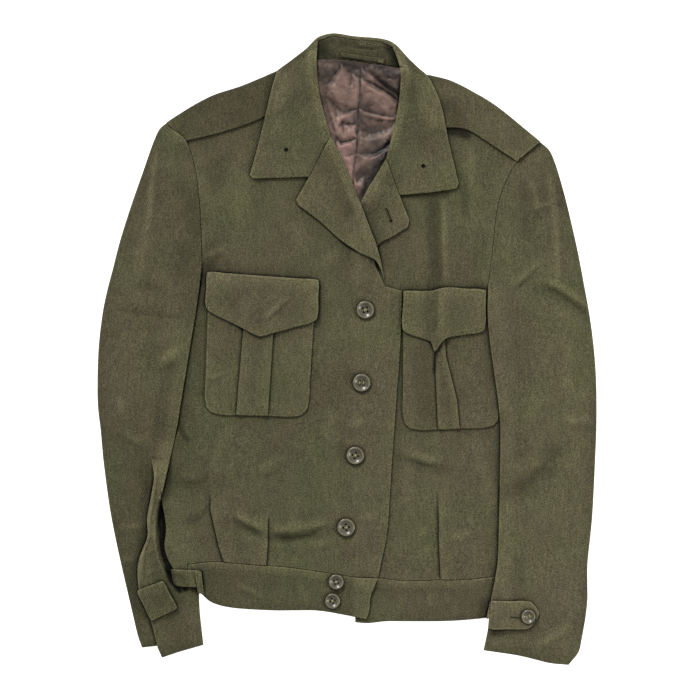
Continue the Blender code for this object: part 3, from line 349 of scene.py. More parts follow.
BACKS = ["collar_fall", "vent_bed_under", "vent_bed", "back", "waistband_back", "lining_back"]
FRONTS = BACKS + ["front_left", "waistband_left", "front_right", "waistband_right"]
BODY = FRONTS[3:]     # the same without the collar's fall and the bed of the sleeve's turned part
SHEETS = {row.name: row for row in table(
    "name node stretch thickness crown reach drape lies_on",
    ("collar_fall", "collar", 1, 2.2, 0.0, 30, 2, []),
    ("vent_bed_under", "sleeve_right_vent", 1, 1.8, 0.0, 30, 2, []),
    ("vent_bed", "sleeve_right_vent", 0, 1.8, 1.6, 14, 3, ["vent_bed_under"]),
    ("vent_under", "sleeve_right_vent", 1, 1.8, 0.0, 30, 6, ["sleeve_right"]),
    ("vent", "sleeve_right_vent", 0, 1.8, 1.6, 14, 6, ["vent_under", "sleeve_right"]),
    ("waistband_back", "waistband_back", 0, 2.2, 0.0, 30, 3, ["vent_bed_under", "vent_bed"]),
    ("back", "back", 0, 1.8, 0.0, 30, 4, ["collar_fall", "vent_bed_under", "vent_bed", "waistband_back"]),
    ("lining_back", "lining_back", 0, 0.8, 1.4, 20, 2, ["collar_fall", "back"]),
    ("collar_stand", "collar_stand", 0, 2.2, 0.4, 8, 2, ["collar_fall", "back", "lining_back"]),
    ("hanger_loop", "hanger_loop", 0, 0.8, 0.6, 3, 2, ["collar_fall", "back", "lining_back", "collar_stand"]),
    ("front_left", "front_left", 0, 1.8, 1.8, 55, 4, BACKS + ["collar_stand"]),
    ("waistband_left", "waistband_left", 0, 2.4, 1.0, 12, 3, BACKS),
    ("front_right", "front_right", 0, 1.8, 3.8, 55, 5, BACKS + ["collar_stand", "front_left", "lapel_left"]),
    ("waistband_right", "waistband_right", 0, 2.4, 1.0, 12, 3, BACKS + ["waistband_left"]),
    ("waist_strap_right", "waist_strap_right", 0, 2.4, 0.4, 6, 3, FRONTS),
    ("strap_keeper_right", "strap_keeper_right", 0, 1.6, 0.2, 4, 2, FRONTS + ["waist_strap_right"]),
    ("pocket_right", "pocket_right", 0, 1.8, 0.6, 14, 2, ["front_right"]),
    ("pocket_left", "pocket_left", 0, 1.8, 0.6, 14, 2, ["front_left"]),
    ("flap_right", "flap_right", 0, 2.4, 0.8, 14, 4, ["front_right", "pocket_right"]),
    ("flap_left", "flap_left", 0, 2.4, 0.8, 14, 4, ["front_left", "pocket_left", "front_right"]),
    ("epaulette_right", "epaulette_right", 0, 2.2, 0.6, 14, 4, ["front_right"]),
    ("epaulette_left", "epaulette_left", 0, 2.2, 1.0, 14, 4, ["front_left"]),
    ("lapel_left", "lapel_left", 0, 2.6, 1.2, 20, 4, ["lining_back", "front_left"]),
    ("lapel_right", "lapel_right", 0, 2.6, 1.4, 20, 4,
     ["lining_back", "front_left", "lapel_left", "front_right"]),
    ("collar", "collar", 0, 2.6, 1.6, 20, 4,
     FRONTS + ["collar_fall", "collar_stand", "epaulette_right", "epaulette_left"]),
    ("sleeve_right_under", "sleeve_right", 0, 1.6, 0.0, 30, 4, BODY + ["epaulette_right"]),
    ("sleeve_right", "sleeve_right", 0, 1.6, 5.0, 42, 4, ["sleeve_right_under"]),
    ("sleeve_left_under", "sleeve_left", 0, 1.6, 0.0, 30, 4,
     BODY + ["epaulette_left", "pocket_left", "flap_left"]),
    ("sleeve_left", "sleeve_left", 0, 1.6, 5.0, 42, 4, ["sleeve_left_under"]),
    ("cuff_tab_left", "cuff_tab_left", 0, 2.6, 0.4, 8, 4, FRONTS + ["sleeve_left"]),
    ("cuff_tab_right", "cuff_tab_right", 0, 2.6, 0.4, 8, 4, ["sleeve_right", "vent"]),
)}
# Buttons: where each holds its cloth down, and over what distance.
SEATS = table(
    "sheet button reach",
    *(("front_right", "button_front_" + n, 34) for n in "1234"),
    ("waistband_right", "button_waist_1", 20), ("waistband_right", "button_waist_2", 20),
    ("cuff_tab_left", "button_cuff_left", 16),
)
# The turned front part of the right sleeve, "vent" below, mm.
VENT_TOP = -119.0     # its solid ends here, and the sleeve's solid begins beside it
VENT_ON = 14.0        # its cloth runs on this far above that,
VENT_LEAN = 3.0       # leaning with the sleeve's front edge,
SLEEVE_ON = 32.0      # and the sleeve runs on this far beneath it,
SLEEVE_LEAN = -7.0    # leaning the same way
VENT_END_RUN = 4      # how far down the points at its end reach,
SLEEVE_END_RUN = 3    # how far to each side those at the sleeve's cut do,
SLEEVE_END_X = -219   # and where, from the left, the cut starts
VENT_RISE = (-106.0, -148.0)  # it comes out of the sleeve between these
VENT_SINK = 3.0       # how far its end goes down into the sleeve
GAP = 0.3             # air between one sheet and the next
WALL = 3.0            # solid cloth inside a fold
FOLD_ROUND = 5.5      # how far in from a fold its roundness reaches
FOLD_OVER = 0.5       # the layers at a fold are drawn together this much further in than that
JOIN_SLACK = 0.6      # an edge is the fold's own if the fold is no further off than this
EDGE_RINGS = (0.4, 1.1, 2.2)  # rows of points along each edge, this far in
RING_CLEAR = 0.85     # a ring's point stays if it is this share of the ring's distance from every edge
STEP_RUN = 1.4        # run of cloth at a pressed edge
STEP_ROWS = (-STEP_RUN, -0.5, 0, 0.5, STEP_RUN)
GRID_CLEAR = 0.45     # the lattice keeps off the rings and the rows by these shares of its step
ROW_CLEAR = 0.4
CORNER = math.radians(33)  # an outline that turns more than this has a corner there
UPWARD = 0.25         # a face looks up if its normal's z is over this
LEAST_STRETCH = 0.1   # an upward stretch counts from this share of the widest one
FOLD_SOFTNESS = 0.5   # spread, mm, that rounds a fold of the satin
FOLD_MERGE = 0.2      # ends of folds that are nearer than this are one point
POINT_MERGE = 0.005   # the same for points of the cloth
CRINKLES = ((4.5, 0.5), (2.0, 0.38))  # spread and height, mm, of the satin's fine crushing
EASE = ((16, 0.55), (7, 0.16))  # spread and share of the wool's unevenness, on sheets
EASE_CROWN = 1.5      # whose crown is over this
NEAR = 1.4            # spreads, mm, of the surroundings that creases and folds are compared with, for their painted shade and highlight
WIDE = 9.0
PRESSED_DARK = 1.5    # how much painted shade a pressed edge's groove gets over what its depth gives
BUTTON_SHADE = 0.7    # how dark the painted shade on the cloth under a button's rim is
BUTTON_SHADE_WIDTH = 3.2
SEAM_EDGE = 0.45      # a sewn edge is hardly rounded, so that its neighbour meets it in a fine line,
SEAM_NEAR = 3.0       # and is an edge that runs as near to a seam as this
OPEN_EDGE = 0.5       # any other is rounded over half its thickness and this
GROOVE = (0.6, 0.9)   # how far beside a pressed edge its groove of painted shade lies, and how wide it is
PATCH_CORE = 0.2      # a soft patch is even up to this share of its width
TINY = 1e-9           # keeps a length of 0 from being divided by


# ---- Outlines ----

def upward_stretches(node):
    """The outlines, mm, of a solid's upward faces, one for each layer of cloth, the highest first."""
    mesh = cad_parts[node].data
    place = np.array([v.co for v in mesh.vertices]) / MM
    _, first, same = np.unique(np.round(place, 2), axis=0, return_index=True, return_inverse=True)
    place, same = place[first], same.reshape(-1)
    mesh.calc_loop_triangles()
    faces = same[np.array([t.vertices for t in mesh.loop_triangles])]
    corners = place[faces]
    normal = np.cross(corners[:, 1] - corners[:, 0], corners[:, 2] - corners[:, 0])
    size = np.linalg.norm(normal, axis=1)
    faces = faces[normal[:, 2] > UPWARD * np.maximum(size, TINY)]
    beside = {}
    for n, face in enumerate(faces):
        for k in range(3):
            beside[face[k], face[(k + 1) % 3]] = n
    group = [-1] * len(faces)
    found = []
    for start in range(len(faces)):
        if group[start] >= 0:
            continue
        group[start], todo, members = len(found), [start], []
        while todo:
            n = todo.pop()
            members.append(n)
            for k in range(3):
                other = beside.get((faces[n][(k + 1) % 3], faces[n][k]))
                if other is not None and group[other] < 0:
                    group[other] = len(found)
                    todo.append(other)
        found.append(members)
    layers = []
    for members in found:
        following = {}
        for n in members:
            for k in range(3):
                a, b = faces[n][k], faces[n][(k + 1) % 3]
                if (b, a) not in beside or group[beside[b, a]] != group[n]:
                    following.setdefault(a, []).append(b)
        loop = longest_loop(following)
        outline = place[loop]
        layers.append((outline[:, 2].mean(), abs(area_of(outline)), outline[:, :2]))
    least = LEAST_STRETCH * max(area for _, area, _ in layers)
    return [outline for _, area, outline in sorted(layers, key=lambda row: -row[0]) if area > least]


def longest_loop(following):
    """The longest closed way through the edges, each given as the points that follow a point."""
    best = []
    while following:
        start = next(iter(following))
        loop, here = [], start
        while here in following:
            loop.append(here)
            ways = following[here]
            after = ways.pop()
            if not ways:
                del following[here]
            here = after
            if here == start:
                break
        if len(loop) > len(best):
            best = loop
    return best


def area_of(loop):
    x, y = loop[:, 0], loop[:, 1]
    return 0.5 * float(np.sum(x * np.roll(y, -1) - y * np.roll(x, -1)))


def smooth(loop, step):
    """The outline as a smooth curve between its corners, with points at most a step apart."""
    loop = loop[np.linalg.norm(loop - np.roll(loop, 1, axis=0), axis=1) > 0.05]
    before = loop - np.roll(loop, 1, axis=0)
    after = np.roll(before, -1, axis=0)
    near, far = np.linalg.norm(before, axis=1), np.linalg.norm(after, axis=1)
    bend = before[:, 0] * after[:, 1] - before[:, 1] * after[:, 0]
    turn = np.abs(np.arctan2(bend, (before * after).sum(axis=1)))
    slope = (before / near[:, None] ** 2 + after / far[:, None] ** 2) / (1 / near + 1 / far)[:, None]
    points = []
    for i in range(len(loop)):
        j = (i + 1) % len(loop)
        length = far[i]
        start = after[i] / length if turn[i] > CORNER else slope[i]
        end = after[i] / length if turn[j] > CORNER else slope[j]
        count = max(1, math.ceil(length / step))
        t = (np.arange(count) / count)[:, None]
        points.append((2 * t**3 - 3 * t**2 + 1) * loop[i] + (t**3 - 2 * t**2 + t) * length * start
                      + (3 * t**2 - 2 * t**3) * loop[j] + (t**3 - t**2) * length * end)
    return np.concatenate(points)


def inwards_of(loop):
    """The direction inwards at each point of an outline."""
    way = np.roll(loop, -1, axis=0) - np.roll(loop, 1, axis=0)
    way /= np.maximum(np.linalg.norm(way, axis=1), TINY)[:, None]
    return np.stack([-way[:, 1], way[:, 0]], axis=1)


def drawn_back(loop, path, amount, within):
    """The outline moved inwards where it runs along a line, or outwards if the amount is under 0."""
    off, share, _ = near_line(loop, path)
    ends = np.clip(share * MOVE_TAPER, 0, 1), np.clip((1 - share) * MOVE_TAPER, 0, 1)
    size = np.where(off < within, amount * ends[0] * ends[1], 0)
    return loop + inwards_of(loop) * size[:, None]


def off_outline(points, loop):
    """Each point's distance from a closed outline of short steps."""
    tree = kdtree.KDTree(len(loop))
    for n, corner in enumerate(loop):
        tree.insert((*corner, 0.0), n)
    tree.balance()
    nearest = np.array([tree.find((x, y, 0.0))[1] for x, y in points.tolist()])
    off = np.full(len(points), np.inf)
    for shift in (-1, 0):
        a, b = loop[(nearest + shift) % len(loop)], loop[(nearest + shift + 1) % len(loop)]
        way = b - a
        t = np.clip(((points - a) * way).sum(axis=1) / np.maximum((way * way).sum(axis=1), TINY), 0, 1)
        off = np.minimum(off, np.hypot(*(points - a - way * t[:, None]).T))
    return off


def near_line(points, path):
    """Each point's distance from a line, its share of the way along, and its side (1 left, -1 right)."""
    path = np.asarray(path, float)
    lengths = np.linalg.norm(np.diff(path, axis=0), axis=1)
    whole, run = lengths.sum(), 0.0
    off = np.full(len(points), np.inf)
    share, side = np.zeros(len(points)), np.ones(len(points))
    for a, b, length in zip(path, path[1:], lengths):
        if length > 1e-6:
            way = (b - a) / length
            rel = points - a
            t = np.clip(rel @ way, 0, length)
            gap = rel - t[:, None] * way
            here = np.hypot(gap[:, 0], gap[:, 1])
            closer = here < off
            off[closer] = here[closer]
            share[closer] = (run + t[closer]) / whole
            side[closer] = np.where(way[0] * rel[closer, 1] - way[1] * rel[closer, 0] >= 0, 1, -1)
        run += length
    return off, share, side


def inside(points, loop):
    """Which points lie inside a closed outline."""
    x, y = points.T
    found = np.zeros(len(points), bool)
    for (ax, ay), (bx, by) in zip(loop, np.roll(loop, -1, axis=0)):
        if ay != by:
            found ^= ((ay > y) != (by > y)) & (x < (bx - ax) * (y - ay) / (by - ay) + ax)
    return found


# ---- The map of heights: 1 mm cells over the whole garment ----

MARGIN = 14           # free cells round the garment


def cells_along(axis):
    low, high = (corner[axis] / MM for corner in CAD_BOX)
    return np.arange(math.floor(low) - MARGIN, math.ceil(high) + MARGIN + 1, dtype=float)


GRID_X, GRID_Y = cells_along(0), cells_along(1)
CELLS = np.stack(np.meshgrid(GRID_X, GRID_Y), axis=-1)
COARSE = 4            # crowns are worked out on every fourth cell


def filled(loop):
    """The cells inside an outline."""
    mask = np.zeros(CELLS.shape[:2], bool)
    ax, ay = loop.T
    bx, by = np.roll(loop, -1, axis=0).T
    for row, y in enumerate(GRID_Y):
        hit = (ay > y) != (by > y)
        cross = np.sort(ax[hit] + (y - ay[hit]) * (bx[hit] - ax[hit]) / (by[hit] - ay[hit]))
        for start, end in zip(cross[::2], cross[1::2]):
            mask[row, (GRID_X >= start) & (GRID_X <= end)] = True
    return mask


def blurred(field, spread):
    """The map softened by a bell curve of this spread."""
    reach = int(3 * spread) + 1
    taps = np.exp(-0.5 * (np.arange(-reach, reach + 1) / spread) ** 2)
    taps /= taps.sum()
    for axis in (0, 1):
        wide = np.pad(field, [(reach, reach) if k == axis else (0, 0) for k in (0, 1)], mode="edge")
        size = field.shape[axis]
        field = sum(w * wide.take(range(k, k + size), axis=axis) for k, w in enumerate(taps))
    return field


def blurred_within(field, mask, spread):
    """The same, taking in only what the mask covers."""
    weight = blurred(mask.astype(float), spread)
    return blurred(np.where(mask, field, 0.0), spread) / np.maximum(weight, 1e-3)


def widened(field, reach):
    """Each cell takes the highest value within the reach."""
    best = field.copy()
    for dy in range(-reach, reach + 1):
        for dx in range(-reach, reach + 1):
            if 0 < dx * dx + dy * dy <= reach * reach + 1:
                best = np.maximum(best, np.roll(field, (dy, dx), axis=(0, 1)))
    return best


def sampled(field, points):
    """The map's values at any points, by straight interpolation."""
    x = np.clip(points[:, 0] - GRID_X[0], 0, len(GRID_X) - 1.001)
    y = np.clip(points[:, 1] - GRID_Y[0], 0, len(GRID_Y) - 1.001)
    i, j = x.astype(int), y.astype(int)
    u, v = x - i, y - j
    low = field[j, i] * (1 - u) + field[j, i + 1] * u
    high = field[j + 1, i] * (1 - u) + field[j + 1, i + 1] * u
    return low * (1 - v) + high * v


def unevenness(shape, spread, seed):
    """Soft random relief with a standard height of 1, for the ease that no crease explains."""
    soft = blurred(np.random.default_rng(seed).normal(size=shape), spread)
    return soft / soft.std()


def soft_step(t):
    t = np.clip(t, 0, 1)
    return t * t * (3 - 2 * t)


def crease_height(crease, points):
    off, share, side = near_line(points, crease.path)
    width = np.where(side > 0, crease.left, crease.right)
    across = (1 + np.cos(np.pi * np.clip(off / width, 0, 1))) / 2
    ends = soft_step(share / crease.fade) * soft_step((1 - share) / crease.fade)
    return crease.rise * across * ends


def pressed_height(row, points):
    off, share, side = near_line(points, row.path)
    signed = off * side * row.side
    climb = soft_step((signed + STEP_RUN / 2) / STEP_RUN)
    fall = 1 - soft_step((signed - STEP_RUN) / row.width)
    start = soft_step(share / row.fade) if row.fade else 1.0
    return row.rise * climb * fall * start


Laid = namedtuple("Laid", "sheet outline mask base top")
laid_sheets = {}
stretches = {}


def outline_of(name):
    """A sheet's outline from its solid, with its turnings, rolls and run-on ends."""
    sheet = SHEETS[name]
    if sheet.node not in stretches:
        stretches[sheet.node] = upward_stretches(sheet.node)
    loop = stretches[sheet.node][sheet.stretch]
    loop = smooth(loop, bpy.context.scene.jacket_cloth.lattice)
    for row in TURNINGS:
        if row.sheet == name:
            loop = drawn_back(loop, row.path, -row.amount, TURNING_REACH)
    if name in ROLLS:
        loop = drawn_back(loop, ROLLS[name], ROLL_BACK, ROLL_REACH)
    if name in ("vent", "vent_under"):
        loop = run_on(loop, loop[:, 1] > VENT_TOP - VENT_END_RUN, VENT_LEAN, VENT_ON)
    if name in ("sleeve_right", "sleeve_right_under"):
        cut = (abs(loop[:, 1] - VENT_TOP) < SLEEVE_END_RUN) & (loop[:, 0] > SLEEVE_END_X)
        loop = run_on(loop, cut, SLEEVE_LEAN, -SLEEVE_ON)
    return loop


def run_on(loop, end, lean, amount):
    """The outline with one end moved on, and its right side leaning."""
    x = loop[end, 0]
    loop[end, 0] += lean * (x - x.min()) / np.ptp(x)
    loop[end, 1] += amount
    return loop


def laid(name):
    """The sheet's outline, and the maps of its underside and its top."""
    if name in laid_sheets:
        return laid_sheets[name]
    sheet = SHEETS[name]
    loop = outline_of(name)
    mask = filled(loop)
    near = window_of(loop, MARGIN)
    floor = np.zeros(mask.shape)
    for other in sheet.lies_on:
        under = laid(other)
        floor[near] = np.where(under.mask[near], np.maximum(floor[near], under.top[near] + GAP), floor[near])
    soft = np.where(mask, floor, 0.0)
    soft[near] = blurred_within(widened(soft[near], sheet.drape), mask[near], sheet.drape)
    base = np.maximum(soft, floor) + own_height(sheet, loop, near)
    base = np.maximum(held_down(sheet, base), floor)
    top = base + sheet.thickness + pressed_map(name)
    if name in ("vent", "vent_under"):
        share = soft_step((VENT_RISE[0] - CELLS[..., 1]) / (VENT_RISE[0] - VENT_RISE[1]))
        ground = laid("sleeve_right").top - (1 - share) * VENT_SINK
        base, top = ground + (base - ground) * share, ground + (top - ground) * share
    laid_sheets[name] = Laid(sheet, loop, mask, base, top)
    return laid_sheets[name]


def own_height(sheet, loop, near):
    """The air under the sheet: its crown, its creases and its unevenness, never under 0."""
    cells = CELLS[near][::COARSE, ::COARSE]
    off = off_outline(cells.reshape(-1, 2), loop)
    rise = 1 - (1 - np.clip(off.reshape(cells.shape[:2]) / sheet.reach, 0, 1)) ** 2
    rise = spread_out(rise, CELLS[near].shape[:2])
    sizes = bpy.context.scene.jacket_cloth
    air = np.zeros(CELLS.shape[:2])
    air[near] = sheet.crown * rise
    for crease in CREASES:
        if crease.sheet == sheet.name:
            air = air + crease_map(crease) * (1.0 if sheet.name == "lining_back" else sizes.crease_gain)
    if sheet.name == "lining_back":
        air[near] += folds_map(near) * sizes.fold_gain
        for spread, height in CRINKLES:
            air[near] += height * np.abs(unevenness(rise.shape, spread, int(spread * 10)))
    if sheet.crown > EASE_CROWN:
        seed = sum(map(ord, sheet.node))
        ease = sum(unevenness(rise.shape, spread, seed + n) * share for n, (spread, share) in enumerate(EASE))
        air[near] += sizes.unevenness * rise * ease
    return np.maximum(air, 0)


def spread_out(coarse, shape):
    """A coarse map brought to one value a cell, by straight interpolation."""
    field = np.pad(coarse, ((0, 1), (0, 1)), mode="edge")
    for axis in (0, 1):
        at = np.arange(shape[axis]) / COARSE
        whole = np.minimum(at.astype(int), field.shape[axis] - 2)
        part = np.expand_dims(at - whole, 1 - axis)
        field = field.take(whole, axis) * (1 - part) + field.take(whole + 1, axis) * part
    return field


def held_down(sheet, base):
    """The underside with the cloth brought to the height of the buttons that hold it."""
    for seat in SEATS:
        if seat.sheet == sheet.name:
            low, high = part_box(seat.button)
            centre = [(low[k] + high[k]) / 2 / MM for k in (0, 1)]
            wanted = low[2] / MM - GAP - sheet.thickness
            now = sampled(base, np.array([centre]))[0]
            near = window_of([centre], seat.reach)
            off = np.hypot(*(CELLS[near] - centre).transpose(2, 0, 1))
            base[near] += (wanted - now) * (1 + np.cos(np.pi * np.clip(off / seat.reach, 0, 1))) / 2
    return base


def window_of(path, reach):
    """The slice of the map around a path."""
    low, high = np.min(path, axis=0) - reach, np.max(path, axis=0) + reach
    columns = np.searchsorted(GRID_X, (low[0], high[0]))
    rows = np.searchsorted(GRID_Y, (low[1], high[1]))
    return slice(*rows), slice(*columns)


def crease_map(crease):
    height = np.zeros(CELLS.shape[:2])
    window = window_of(crease.path, max(crease.left, crease.right))
    cells = CELLS[window]
    height[window] = crease_height(crease, cells.reshape(-1, 2)).reshape(cells.shape[:2])
    return height


def folds_map(near):
    """The satin's height in a window: flat between its folds, which are kept as edges."""
    points, edges = list(LINING_CORNERS), []
    for fold in LINING_FOLDS:
        edges.extend((len(points) + k, len(points) + k + 1) for k in range(len(fold) - 1))
        points.extend(fold)
    made = delaunay_2d_cdt([Vector(p[:2]) for p in points], edges, [], 0, FOLD_MERGE)
    place = np.array([tuple(p) for p in made[0]])
    given = np.array(points, float)
    rise = np.array([given[np.argmin(np.hypot(*(given[:, :2] - p).T)), 2] for p in place])
    cells = CELLS[near]
    height = np.zeros(cells.shape[:2])
    for face in made[2]:
        a, b, c = place[face]
        (ux, uy), (vx, vy) = b - a, c - a
        size = ux * vy - uy * vx
        rel = cells - a
        u = (rel[..., 0] * vy - rel[..., 1] * vx) / size
        v = (rel[..., 1] * ux - rel[..., 0] * uy) / size
        within = (u >= 0) & (v >= 0) & (u + v <= 1)
        flat = (1 - u - v) * rise[face[0]] + u * rise[face[1]] + v * rise[face[2]]
        height = np.where(within, flat, height)
    return blurred(height, FOLD_SOFTNESS)


def pressed_map(name):
    """How far a sheet's pressed edges lift its top."""
    height = np.zeros(CELLS.shape[:2])
    for row in PRESSED:
        if row.sheet == name:
            window = window_of(row.path, row.width)
            cells = CELLS[window]
            here = pressed_height(row, cells.reshape(-1, 2)).reshape(cells.shape[:2])
            height[window] = np.maximum(height[window], here)
    return height


# ---- Fine meshes ----

def fine_plan(loops, step, lines=()):
    """Points and triangles of a lattice with edges along every outline, and rows beside each line."""
    points, edges = [], []
    for loop in loops:
        start = len(points)
        points.extend(map(tuple, loop))
        edges.extend((start + i, start + (i + 1) % len(loop)) for i in range(len(loop)))
    extra = []
    for loop in loops:
        inwards = inwards_of(loop)
        for ring in EDGE_RINGS:
            moved = loop + inwards * ring
            off = np.min([off_outline(moved, other) for other in loops], axis=0)
            extra.append(moved[(off > RING_CLEAR * ring) & inside(moved, loop)])
    for path in lines:
        rows = np.concatenate([beside(path, gap, step) for gap in STEP_ROWS])
        off = np.min([off_outline(rows, other) for other in loops], axis=0)
        extra.append(rows[(off > EDGE_RINGS[0]) & covered(rows, loops)])
    low = np.min([loop.min(axis=0) for loop in loops], axis=0)
    high = np.max([loop.max(axis=0) for loop in loops], axis=0)
    # Rows of a lattice of equal-sided triangles.
    rows, columns = np.arange(low[1], high[1], step * math.sqrt(0.75)), np.arange(low[0], high[0], step)
    grid = np.array([(x + (k % 2) * step / 2, y) for k, y in enumerate(rows) for x in columns])
    grid = grid[covered(grid, loops)]
    off = np.min([off_outline(grid, other) for other in loops], axis=0)
    keep = off > EDGE_RINGS[-1] + step * GRID_CLEAR
    for path in lines:
        keep &= near_line(grid, path)[0] > STEP_RUN + step * ROW_CLEAR
    extra.append(grid[keep])
    points.extend(map(tuple, np.concatenate(extra)))
    made = delaunay_2d_cdt(points, edges, [], 0, POINT_MERGE)
    return np.array(made[0]), np.array(made[2])


def beside(path, gap, step):
    """Points along a line, moved to its left by the gap."""
    found = []
    for a, b in zip(path, path[1:]):
        a, b = np.array(a, float), np.array(b, float)
        way = (b - a) / np.linalg.norm(b - a)
        count = max(1, math.ceil(np.linalg.norm(b - a) / step))
        found.append(a + (b - a) * (np.arange(count) / count)[:, None] + np.array([-way[1], way[0]]) * gap)
    return np.concatenate(found)


def covered(points, loops):
    """Which points lie inside any of the outlines."""
    found = np.zeros(len(points), bool)
    for loop in loops:
        found |= inside(points, loop)
    return found


def rounding(off, reach):
    """0 on an edge and 1 from its reach inwards, as a quarter circle."""
    return np.sqrt(1 - (1 - np.clip(off / reach, 0, 1)) ** 2)


def edge_reach(points, half):
    """How far in the roundness of an edge reaches: less along the sewn ones."""
    off = np.min([near_line(points, path)[0] for path in (ARMHOLE_RIGHT, ARMHOLE_LEFT, WAIST)], axis=0)
    return np.where(off < SEAM_NEAR, SEAM_EDGE, half + OPEN_EDGE)


def placed(name, data):
    """A new object of a mesh, a lamp or a camera, in the scene."""
    thing = bpy.data.objects.new(name, data)
    bpy.context.collection.objects.link(thing)
    return thing


def from_faces(name, points, faces, edges=()):
    mesh = bpy.data.meshes.new(name)
    mesh.from_pydata(points, edges, faces)
    return mesh


def mesh_size(name):
    """The distance between a piece's points, mm."""
    sizes = bpy.context.scene.jacket_cloth
    return sizes.lining_lattice if name == "lining_back" else FINER.get(name, sizes.lattice)


def slab_mesh(name, points, triangles, levels, slabs, attributes):
    """A closed mesh. levels are heights at each point, the lowest first, and slabs say which triangles
    are cloth between one level and the next."""
    count = len(points)
    faces = []
    for level in range(len(levels)):
        above = slabs[level] if level < len(slabs) else np.zeros(len(triangles), bool)
        below = slabs[level - 1] if level > 0 else np.zeros(len(triangles), bool)
        faces.extend((triangles[above & ~below][:, ::-1] + level * count).tolist())
        faces.extend((triangles[below & ~above] + level * count).tolist())
    for level, cloth in enumerate(slabs):
        edges = {}
        for a, b, c in triangles[cloth].tolist():
            edges[a, b] = edges[b, c] = edges[c, a] = True
        for a, b in edges:
            if (b, a) not in edges:
                low, high = level * count, (level + 1) * count
                faces.append((a + low, b + low, b + high))
                faces.append((a + low, b + high, a + high))
    place = np.concatenate([np.column_stack([points, level]) for level in levels])
    values = {key: np.tile(value, len(levels)) for key, value in attributes.items()}
    faces = np.array(faces)
    _, first, same = np.unique(np.round(place, 3), axis=0, return_index=True, return_inverse=True)
    faces = same.reshape(-1)[faces]
    faces = faces[(faces[:, 0] != faces[:, 1]) & (faces[:, 1] != faces[:, 2]) & (faces[:, 0] != faces[:, 2])]
    used, index = np.unique(faces, return_inverse=True)
    first = first[used]
    faces = index.reshape(-1, 3)
    mesh = bpy.data.meshes.new(name)
    mesh.vertices.add(len(first))
    mesh.vertices.foreach_set("co", (place[first] * MM).astype(np.float32).ravel())
    mesh.loops.add(len(faces) * 3)
    mesh.loops.foreach_set("vertex_index", faces.ravel().astype(np.int32))
    mesh.polygons.add(len(faces))
    mesh.polygons.foreach_set("loop_start", np.arange(len(faces), dtype=np.int32) * 3)
    for key, value in values.items():
        layer = mesh.attributes.new(key, "FLOAT", "POINT")
        layer.data.foreach_set("value", value[first].astype(np.float32))
    mesh.update(calc_edges=True)
    mesh.validate()
    mesh.shade_smooth()
    return placed(name, mesh)


whole_garment = {}


def surroundings(spread):
    """The whole garment's upper surface, softened by a spread: what a point's own height is compared with."""
    if 0 not in whole_garment:
        top, mask = np.zeros(CELLS.shape[:2]), np.zeros(CELLS.shape[:2], bool)
        for name in SHEETS:
            cloth = laid(name)
            top = np.where(cloth.mask, np.maximum(top, cloth.top), top)
            mask |= cloth.mask
        whole_garment.update({0: top, "mask": mask})
    if spread not in whole_garment:
        whole_garment[spread] = blurred_within(whole_garment[0], whole_garment["mask"], spread)
    return whole_garment[spread]


def compared_with(name, spread):
    """What a sheet's heights are compared with: the satin with itself, the wool with the whole garment."""
    if name != "lining_back":
        return surroundings(spread)
    cloth = laid(name)
    return blurred_within(cloth.top, cloth.mask, spread)


def painted_light_and_tint_of(name, points, heights, off):
    """What the materials read: distance to the edge, which the wool paints a highlight along, the table's
    painted shade, the satin's tint, and height over the near and the wider surroundings, by which they paint
    shade and highlight.
    """
    deep = np.zeros(len(points))
    # A pressed edge's groove gets painted shade.
    for row in PRESSED:
        if row.sheet == name:
            away, share, side = near_line(points, row.path)
            groove = np.exp(-((away + side * row.side * GROOVE[0]) / GROOVE[1]) ** 2)
            deep = np.maximum(deep, groove * (soft_step(share / row.fade) if row.fade else 1.0))
    shade = patches_of(SHADES, name, points)
    for seat in SEATS:
        if seat.sheet == name:
            # A ring of painted shade on the cloth round a button, where its shadow falls.
            low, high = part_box(seat.button)
            centre, radius = [(low[k] + high[k]) / 2 / MM for k in (0, 1)], (high[0] - low[0]) / 2 / MM
            away = np.abs(np.hypot(*(points - centre).T) - radius)
            shade = np.maximum(shade, BUTTON_SHADE * (1 - soft_step(away / BUTTON_SHADE_WIDTH)))
    return {"edge": off, "shade": shade, "tint": patches_of(TINTS, name, points),
            "crease": heights - sampled(compared_with(name, NEAR), points) - PRESSED_DARK * deep,
            "relief": heights - sampled(compared_with(name, WIDE), points)}


def patches_of(rows, name, points):
    """How deep each point lies in a table's soft patches."""
    depth = np.zeros(len(points))
    for row in rows:
        if row.sheet == name:
            away = near_line(points, row.path)[0]
            fade = soft_step((away / row.width - PATCH_CORE) / (1 - PATCH_CORE))
            depth = np.maximum(depth, row.depth * (1 - fade))
    return depth


def sheet_piece(name, material):
    """One sheet of cloth as a thin closed shell with rounded edges."""
    cloth = laid(name)
    lines = [row.path for row in PRESSED if row.sheet == name]
    points, triangles = fine_plan([cloth.outline], mesh_size(name), lines)
    triangles = triangles[inside(points[triangles].mean(axis=1), cloth.outline)]
    off = off_outline(points, cloth.outline)
    half = cloth.sheet.thickness / 2
    swell = rounding(off, edge_reach(points, half))
    middle = sampled(cloth.base, points) + half
    lift = pressed_lift(name, points)
    low, high = middle - half * swell, middle + half * swell + lift * swell
    painted_light_and_tint = painted_light_and_tint_of(name, points, middle + half + lift, off)
    thing = slab_mesh(name + "_cloth", points, triangles, [low, high], [np.ones(len(triangles), bool)], painted_light_and_tint)
    thing.data.materials.append(material)
    return thing


def pressed_lift(name, points):
    """The same as pressed_map, at any points."""
    rows = [pressed_height(row, points) for row in PRESSED if row.sheet == name]
    return np.max(rows, axis=0) if rows else np.zeros(len(points))


